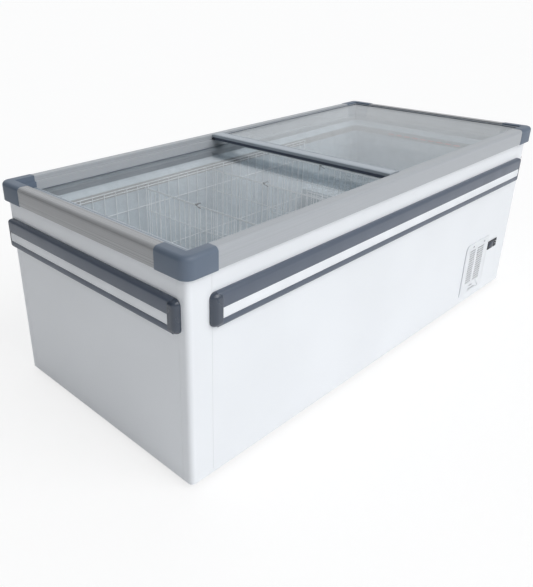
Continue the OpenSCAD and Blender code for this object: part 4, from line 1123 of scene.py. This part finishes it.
class FREEZER_OT_grids(Maker):
    """Welded wire grids on the tub's walls, and the three dividers with their clips"""

    bl_idname = "freezer.grids"
    bl_label = "Grids and dividers"

    def make(self, settings, colours):
        sizes = settings.freezer_grid
        finish = wire_enamel("wire_enamel", colours.wire)
        tree = welded_grid_tree()
        low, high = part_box("wall_grids")
        grids = []
        for place, span, height in self.wall_places(sizes, low, high):
            rods = [0, height * 0.45, height - sizes.cross_drop, height - sizes.rod_gap - sizes.wire,
                    height - sizes.wire]
            grids.append(self.grid(tree, sizes, finish, span, height, sizes.wall_pitch, rods, place))
        settle(gather("wall_wires", grids), finish, "cabinet", "wire_coating", "wall_grids", sharp=50)
        for number, body in (("1", "divider_left"), ("2", "divider_middle"), ("3", "divider_right")):
            self.divider(sizes, tree, finish, number, body)

    def wall_places(self, sizes, low, high):
        """For each wall's grid, the place where its foot starts, its length and its height."""
        half = sizes.wire / 2
        long_start = low.x + 27 * MM
        long = high.x - sizes.wire - 2 * MM - long_start
        side = high.y - half
        short = 2 * (high.y + 3 * MM - 30 * MM) - 6 * MM
        tall = high.z - low.z
        ends = ((low.x + half, tall), (high.x - half, self.step_top() - low.z - 6 * MM))
        quarter = Matrix.Rotation(math.pi / 2, 4, "Z")
        return ([(Matrix.Translation((long_start, y, low.z)), long, tall) for y in (-side, side)]
                + [(Matrix.Translation((x, -short / 2, low.z)) @ quarter, short, up) for x, up in ends])

    def step_top(self):
        """Height of the step over the machine compartment, from the openings in the record."""
        for opening in frame["record"]["physics"]["openings"]:
            if opening["name"] == "shelf_over_compartment":
                return opening["box_m"][0][2] - 8 * MM
        raise RuntimeError("the record has no shelf over the compartment")

    def grid(self, tree, sizes, finish, span, height, pitch, rods, place):
        count = math.floor((span - sizes.wire) / pitch + 1e-6)
        first = (span - sizes.wire - (count - 1) * pitch) / 2 + sizes.wire / 2
        points = [(0, 0, rod + sizes.wire / 2) for rod in rods]
        obj = tree.run("grid", points, finish, Length=span, Height=height, First=first, Pitch=pitch,
                       Count=count, Wire=sizes.wire, Weld=sizes.weld, Sides=sizes.sides)
        obj.data.transform(place)
        return obj

    def divider(self, sizes, tree, finish, number, body):
        low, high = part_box(f"divider_{number}")
        height = high.z - low.z
        middle = (low.x + high.x) / 2
        rods = [0, height * 0.45, height - sizes.cross_drop, height - 2 * sizes.wire, height - sizes.wire]
        place = Matrix.Translation((middle, low.y, low.z)) @ Matrix.Rotation(math.pi / 2, 4, "Z")
        obj = self.grid(tree, sizes, finish, high.y - low.y, height, sizes.divider_pitch, rods, place)
        obj.name = f"divider_wires_{number}"
        settle(obj, finish, body, "wire_coating", f"divider_{number}", sharp=50)
        clip = Shell()
        top = high.z - sizes.wire / 2
        at = sizes.clip
        clip.tube([(middle, at + along * MM, top + up * MM) for along, up in CLIP_HOOK], 1.7 * MM, 10)
        clip.block((middle - 3.2 * MM, at + 3 * MM, top - 3 * MM),
                   (middle + 3.2 * MM, at + 14 * MM, top + 3.4 * MM), 1.2 * MM)
        clip.piece(f"divider_clip_{number}", moulded("clip_plastic", linear(20, 22, 26), 0.45, coat=0.0), body,
                   "black_plastic", bevel=0.5 * MM, segments=2)


# Columns of slots in the front grille: distance from its left edge, and length
SLOT_COLUMNS = ((31 * MM, 48 * MM), (95 * MM, 56 * MM))
# Slots below the columns: distance from the left edge, height above the foot, and length
LOW_SLOTS = ((71 * MM, 28 * MM, 31 * MM), (68 * MM, 12 * MM, 60 * MM))
# A narrow bent slot round them, in millimetres
BENT_SLOT = ((70, 6.4), (160.4, 6.4), (124.7, 42.1), (123.3, 40.7), (155.6, 8.4), (70, 8.4))
# Rear grille: rows of slots, height of the first, their pitch and height, and the plain parts beside them
REAR_SLOTS = 10
REAR_FOOT = 26 * MM
REAR_PITCH = 11 * MM
REAR_SLOT = 5 * MM
REAR_MARGIN = 28 * MM
REAR_RIB = 16 * MM
# Louvres behind the slots: lean in degrees, and thickness. At the rear: distance from the middle, and length
LOUVRE_LEAN = 38
LOUVRE = 0.9 * MM
REAR_LOUVRE_SIDE = 55 * MM
REAR_LOUVRE_LONG = 95 * MM
# How far a screw's head stands out from its seat, and how close the corners of one screw lie together
HEAD_REACH = 1.6 * MM
SCREW_NEAR = 6 * MM


class FREEZER_OT_grilles(Maker):
    """Vent grilles with their louvres, and the screws that hold them"""

    bl_idname = "freezer.grilles"
    bl_label = "Grilles and screws"

    def make(self, settings, colours):
        sizes = settings.freezer_fitting
        white = moulded("grille_plastic", scaled(colours.insert, 0.95), 0.36, coat=0.3)
        # Painted shade: the louvres are a dark grey, far darker than the grille's white, so that the slots look
        # shaded inside
        shade = moulded("louvre_plastic", scaled(colours.insert, 0.22), 0.5, coat=0.0)
        self.front_plate(sizes, white)
        self.rear_plate(white)
        low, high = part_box("vent_grille")
        stack = blade_stack_tree()
        louvres = []
        for left, wide in SLOT_COLUMNS:
            point = (low.x + left + wide / 2, high.y - 1.6 * MM,
                     high.z - sizes.slot_drop - sizes.slot_height / 2)
            louvres.append(stack.run("louvres", [point], shade, Size=(wide + 1 * MM, 3.6 * MM, LOUVRE),
                                     Step=(0, 0, -sizes.slot_pitch), Count=sizes.slots,
                                     Tilt=math.radians(-LOUVRE_LEAN)))
        low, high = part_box("rear_grille")
        for side in (-REAR_LOUVRE_SIDE, REAR_LOUVRE_SIDE):
            point = ((low.x + high.x) / 2 + side, low.y + 1.2 * MM, low.z + REAR_FOOT + REAR_SLOT / 2)
            louvres.append(stack.run("louvres", [point], shade, Size=(REAR_LOUVRE_LONG, 3.4 * MM, LOUVRE),
                                     Step=(0, 0, REAR_PITCH), Count=REAR_SLOTS, Tilt=math.radians(LOUVRE_LEAN)))
        settle(gather("grille_louvres", louvres), shade, "cabinet", "white_plastic")
        self.screws(sizes)

    def plate(self, name, finish, node, outlines):
        """An upright plate with rounded edges: the first outline is its rim, the rest are holes."""
        low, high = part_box(node)
        place = Matrix.Translation((low.x, (low.y + high.y) / 2, low.z)) @ Matrix.Rotation(math.pi / 2, 4, "X")
        edge = 1.0 * MM
        curve = bpy.data.curves.new(name, "CURVE")
        curve.dimensions = "2D"
        curve.fill_mode = "BOTH"
        curve.extrude = (high.y - low.y) / 2 - edge
        curve.bevel_depth = edge
        curve.bevel_resolution = 2
        curve.offset = -edge
        for outline in outlines:
            spline = curve.splines.new("POLY")
            spline.points.add(len(outline) - 1)
            for point, (x, y) in zip(spline.points, outline):
                point.co = (x, y, 0, 1)
            spline.use_cyclic_u = True
        source = new_object(name + "_outline", curve)
        mesh = evaluated_mesh(source)
        bpy.data.objects.remove(source)
        mesh.transform(place)
        bm = bmesh.new()
        bm.from_mesh(mesh)
        bmesh.ops.remove_doubles(bm, verts=bm.verts, dist=1e-6)
        bmesh.ops.recalc_face_normals(bm, faces=bm.faces)
        settle(new_object(name, new_mesh(name, bm)), finish, "cabinet", "white_plastic", node, sharp=40)

    def slot(self, left, low, wide, tall):
        """A slot with round ends."""
        return rounded_rectangle(left, low, left + wide, low + tall, tall / 2 - 0.05 * MM)

    def front_plate(self, sizes, finish):
        low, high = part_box("vent_grille")
        wide, tall = high.x - low.x, high.z - low.z
        outlines = [rounded_rectangle(0, 0, wide, tall, (3 * MM, 3 * MM, 3 * MM, 26 * MM), 10)]
        for left, length in SLOT_COLUMNS:
            for row in range(sizes.slots):
                up = tall - sizes.slot_drop - row * sizes.slot_pitch - sizes.slot_height
                outlines.append(self.slot(left, up, length, sizes.slot_height))
        for left, up, length in LOW_SLOTS:
            outlines.append(self.slot(left, up, length, sizes.slot_height))
        outlines.append([(x * MM, z * MM) for x, z in BENT_SLOT])
        self.plate("front_grille_plate", finish, "vent_grille", outlines)

    def rear_plate(self, finish):
        low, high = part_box("rear_grille")
        wide, tall = high.x - low.x, high.z - low.z
        outlines = [rounded_rectangle(0, 0, wide, tall, 6 * MM, 6)]
        length = (wide - 2 * REAR_MARGIN - REAR_RIB) / 2
        for left in (REAR_MARGIN, REAR_MARGIN + length + REAR_RIB):
            for row in range(REAR_SLOTS):
                outlines.append(self.slot(left, REAR_FOOT + REAR_PITCH * row, length, REAR_SLOT))
        self.plate("rear_grille_plate", finish, "rear_grille", outlines)

    def screws(self, sizes):
        """Pan heads with a cross recess, one at each screw of the CAD model."""
        steel = bare_metal("screw_zinc", linear(188, 190, 194), 0.26, (150, 148, 142))
        head = self.screw_head(sizes.screw_head)
        spots = self.screw_spots()
        tree = scatter_tree()
        groups = []
        for name, side in (("front", -1), ("rear", 1)):
            points = [spot for spot in spots if spot.y * side > 0]
            groups.append(tree.run(name, points, steel, Fastener=head, Turn=(-side * math.pi / 2, 0, 0)))
        bpy.data.objects.remove(head)
        settle(gather("grille_screws", groups), steel, "cabinet", "screw_steel", "screws", sharp=35)

    def screw_spots(self):
        """The middle of each screw's head, found from the screws' own corners."""
        source = frame["nodes"]["screws"].data
        spots = []
        for vertex in source.vertices:
            for spot in spots:
                if (spot[0].xz - vertex.co.xz).length < SCREW_NEAR and spot[0].y * vertex.co.y > 0:
                    spot.append(vertex.co.copy())
                    break
            else:
                spots.append([vertex.co.copy()])
        middles = []
        for corners in spots:
            x, y, z = [sorted(corner[axis] for corner in corners) for axis in range(3)]
            outer = y[0] if y[0] < 0 else y[-1]
            middle_x, middle_z = (x[0] + x[-1]) / 2, (z[0] + z[-1]) / 2
            middles.append(Vector((middle_x, outer - math.copysign(HEAD_REACH, outer), middle_z)))
        return middles

    def screw_head(self, radius):
        """A pan head that stands on z = 0, with a cross recess."""
        shell = Shell()
        deep, arm, reach = 0.9 * MM, 0.45 * MM, radius * 0.52
        cross = []
        for quarter in range(4):
            turned = Matrix.Rotation(math.pi / 2 * quarter, 2)
            for x, y in ((arm, -arm), (reach, -arm), (reach, arm)):
                spot = turned @ Vector((x, y))
                cross.append((spot.x, spot.y))

        def ring(size, up):
            return [Vector((size * math.cos(math.atan2(y, x)), size * math.sin(math.atan2(y, x)), up))
                    for x, y in cross]

        top = 1.5 * MM
        rings = [ring(radius * 0.5, -6 * MM), ring(radius * 0.5, 0), ring(radius, 0), ring(radius, 0.5 * MM),
                 ring(radius * 0.9, 1.1 * MM), ring(radius * 0.68, top)]
        rings.append([Vector((x, y, top)) for x, y in cross])
        rings.append([Vector((x * 0.8, y * 0.8, top - deep)) for x, y in cross])
        shell.loft(rings)
        return shell.object("screw_head")


class FREEZER_OT_controller(Maker):
    """Panel controller with its window and three keys"""

    bl_idname = "freezer.controller"
    bl_label = "Controller"

    def make(self, settings, colours):
        rounded_copy("controller_housing", "controller_case",
                     moulded("controller_plastic", linear(30, 33, 40), 0.5, coat=0.0), 0.6 * MM, 3)
        rounded_copy("controller_window", "controller_glass", display_glass("display_glass"), 0.3 * MM, 2)
        key = moulded("key_plastic", linear(206, 210, 216), 0.38)
        for name in ("set", "up", "down"):
            rounded_copy(f"button_{name}", f"key_{name}_cap", key, 0.45 * MM, 3)


class FREEZER_OT_machine(Maker):
    """Compressor, condenser, fan and what joins them"""

    bl_idname = "freezer.machine"
    bl_label = "Machine compartment"

    def make(self, settings, colours):
        black = moulded("black_plastic", linear(34, 36, 40), 0.42)
        steel = bare_metal("motor_steel", linear(150, 152, 156), 0.34)
        copper = bare_metal("copper_pipe", linear(198, 134, 98), 0.26, (112, 80, 62))
        shell_paint = enamel("compressor_enamel", linear(30, 31, 34), 0.28)
        rounded_copy("compressor", "compressor_shell", shell_paint, 1.0 * MM, 2, sharp=40)
        rounded_copy("terminal_box", "terminal_cover", black, 3 * MM, 4)
        rounded_copy("fan_shroud", "fan_cowl", zinc_sheet("cowl_zinc"), 1.2 * MM, 2)
        rounded_copy("fan_motor", "fan_motor_can", steel, 0.8 * MM, 2)
        rounded_copy("power_inlet", "supply_gland", black, 0.8 * MM, 2)
        coat(rubber("grommet_rubber", linear(36, 36, 38)), "compressor_grommets")
        coat(copper, "filter_drier", "refrigerant_lines")
        coat(steel, "temperature_probe")
        self.fan(black)
        self.condenser(settings.freezer_fitting)

    def fan(self, finish):
        """Hub and five cambered blades."""
        low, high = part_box("fan_blade")
        middle_x, middle_z = (low.x + high.x) / 2, (low.z + high.z) / 2
        hub_high, blades, stations, points = 26 * MM, 5, 6, 8
        foot = (low.y + high.y) / 2 - hub_high / 2
        shell = Shell()

        def place(x, y, up):
            return Vector((middle_x + x, foot + up, middle_z + y))

        bore, hub = 4.4 * MM, 24 * MM
        shell.lathe([(bore, 3 * MM), (bore, hub_high), (20 * MM, hub_high), (23 * MM, hub_high - 2 * MM),
                     (hub, hub_high - 5 * MM), (hub, 4 * MM), (21 * MM, 0.5 * MM), (1 * MM, 0),
                     (1 * MM, 3 * MM)], place, 40)
        for blade in range(blades):
            turned = Matrix.Rotation(2 * math.pi * blade / blades, 2)
            rings = []
            for station in range(stations + 1):
                share = station / stations
                radius, half = (22 + 47 * share) * MM, (15 + 5 * share) * MM
                pitch = math.radians(36 - 12 * share)
                ring = []
                for side, order in ((1, range(points + 1)), (-1, range(points, -1, -1))):
                    for k in order:
                        along = (2 * k / points - 1) * half
                        crown = (along / half) ** 2
                        camber, thick = 2.6 * MM * (1 - crown), side * 0.9 * MM * (1 - 0.6 * crown)
                        spot = turned @ Vector((radius, along * math.cos(pitch)))
                        up = hub_high / 2 + along * math.sin(pitch) * 0.75 + camber + thick - 1.3 * MM
                        ring.append(place(spot.x, spot.y, up))
                rings.append(ring)
            shell.loft(rings)
        shell.piece("fan_rotor", finish, "fan", "black_plastic", "fan_blade", sharp=40)

    def condenser(self, sizes):
        """Thin fins between two end plates, on hairpin tubes."""
        low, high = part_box("condenser")
        fins = bare_metal("fin_aluminium", linear(196, 199, 203), 0.3, (160, 160, 158))
        core_high = high.x - 16 * MM
        plate = 1.6 * MM
        count = int((core_high - low.x - 2 * plate) / sizes.fin_pitch)
        centre = ((low.y + high.y) / 2, (low.z + high.z) / 2)
        deep, tall = high.y - low.y, high.z - low.z
        tree = blade_stack_tree()
        stack = tree.run("fins", [(low.x + plate + sizes.fin_pitch / 2, *centre)], fins,
                         Size=(sizes.fin, deep - 1 * MM, tall - 2 * MM), Step=(sizes.fin_pitch, 0, 0),
                         Count=count, Tilt=0.0)
        shell = Shell()
        for x in (low.x, core_high - plate):
            shell.block((x, low.y, low.z), (x + plate, high.y, high.z))
        bend_radius, start, y = 12 * MM, low.x + 1 * MM, low.y + 16 * MM
        for i in range(8):
            z = low.z + (22 + 24 * i) * MM
            bend = [(min(core_high + bend_radius * math.sin(a), high.x - 4 * MM), y,
                     z - bend_radius * math.cos(a)) for a in [math.pi * k / 12 for k in range(13)]]
            shell.tube([(start, y, z - bend_radius), *bend, (start, y, z + bend_radius)], 3.9 * MM, 12)
        body = shell.piece("condenser_tubes", bare_metal("condenser_copper", linear(190, 130, 98)), "cabinet",
                           "fin_aluminium", "condenser", sharp=35)
        body.name = "condenser_coil"
        settle(stack, fins, "cabinet", "fin_aluminium")
        stack.name = "condenser_fins"


class FREEZER_OT_feet(Maker):
    """Levelling feet, drain spout and plug"""

    bl_idname = "freezer.feet"
    bl_label = "Feet and drain"

    def make(self, settings, colours):
        foot = moulded("foot_plastic", linear(48, 50, 54), 0.5)
        for corner in ("front_left", "front_right", "back_left", "back_right"):
            rounded_copy(f"foot_{corner}", f"levelling_foot_{corner}", foot, 0.8 * MM, 2)
        rounded_copy("drain_plug", "drain_stopper", rubber("plug_rubber", linear(58, 62, 68)), 0.8 * MM, 3)
        coat(moulded("spout_plastic", linear(52, 54, 58), 0.45), "drain_spout")


class FREEZER_OT_marks(Maker):
    """Plain load line inside the tub and an outline arrow on the lower lid"""

    bl_idname = "freezer.marks"
    bl_label = "Marks"

    def make(self, settings, colours):
        red = moulded("load_line_ink", colours.load_line, 0.5, depth=0.00001)
        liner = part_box("wall_grids")
        end_x = -liner[0].x + 3 * MM
        height = liner[1].z - 12 * MM
        line = Shell()
        pitch, dash, thick = 40 * MM, 28 * MM, 5 * MM
        for number in range(-4, 5):
            middle = number * pitch
            line.block((end_x - 0.35 * MM, middle - dash / 2, height),
                       (end_x - 0.05 * MM, middle + dash / 2, height + thick))
        line.piece("load_line", red, "cabinet", "liner_paint")
        ink = moulded("arrow_ink", linear(88, 98, 108), 0.5, depth=0.00001)
        low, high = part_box("lower_lid_glass")
        arrow = Shell()
        self.arrow(arrow, low.x + 44 * MM, low.y + 34 * MM, high.z)
        arrow.piece("slide_arrow", ink, "lower_lid", "lid_extrusion")

    def arrow(self, shell, x, y, z):
        """An outline arrow that points along the lid's travel, as a thin closed band."""
        outer = [(0, 14), (22, 0), (22, 8), (92, 8), (92, 20), (22, 20), (22, 28)]
        inner = [(4.6, 14), (19.6, 4.4), (19.6, 10.2), (89.8, 10.2), (89.8, 17.8), (19.6, 17.8), (19.6, 23.6)]
        rings = [[Vector((x + across * MM, y + deep * MM, z + up * MM)) for across, deep in points]
                 for points, up in ((outer, 0.02), (outer, 0.12), (inner, 0.12), (inner, 0.02))]
        shell.loft(rings, looped=True)


# ---------------------------------------------------------------- panel and run


MAKERS = (FREEZER_OT_stage, FREEZER_OT_casing, FREEZER_OT_rim, FREEZER_OT_bumpers, FREEZER_OT_lids,
          FREEZER_OT_grids, FREEZER_OT_grilles, FREEZER_OT_controller, FREEZER_OT_machine,
          FREEZER_OT_feet, FREEZER_OT_marks)


class FREEZER_PT_panel(bpy.types.Panel):
    """The freezer's pieces, in the order in which they are made"""

    bl_idname = "FREEZER_PT_panel"
    bl_label = "Island chest freezer"
    bl_space_type = "VIEW_3D"
    bl_region_type = "UI"
    bl_category = "Freezer"

    def draw(self, context):
        for maker in MAKERS:
            self.layout.operator(maker.bl_idname)


SETTINGS = {"freezer_stage": StageSettings, "freezer_colours": FinishColours, "freezer_rim": RimSizes,
            "freezer_bumper": BumperSizes, "freezer_lid": LidSizes, "freezer_grid": GridSizes,
            "freezer_fitting": FittingSizes}


def register():
    for group in SETTINGS.values():
        bpy.utils.register_class(group)
    for name, group in SETTINGS.items():
        setattr(bpy.types.Scene, name, PointerProperty(type=group))
    for maker in MAKERS:
        bpy.utils.register_class(maker)
    bpy.utils.register_class(FREEZER_PT_panel)


def unregister():
    bpy.utils.unregister_class(FREEZER_PT_panel)
    for maker in reversed(MAKERS):
        bpy.utils.unregister_class(maker)
    for name in SETTINGS:
        delattr(bpy.types.Scene, name)
    for group in reversed(list(SETTINGS.values())):
        bpy.utils.unregister_class(group)


def main():
    register()
    for maker in MAKERS:
        group, name = maker.bl_idname.split(".")
        if getattr(getattr(bpy.ops, group), name)() != {"FINISHED"}:
            raise RuntimeError(f"{maker.bl_idname} did not finish")


if __name__ == "__main__":
    main()
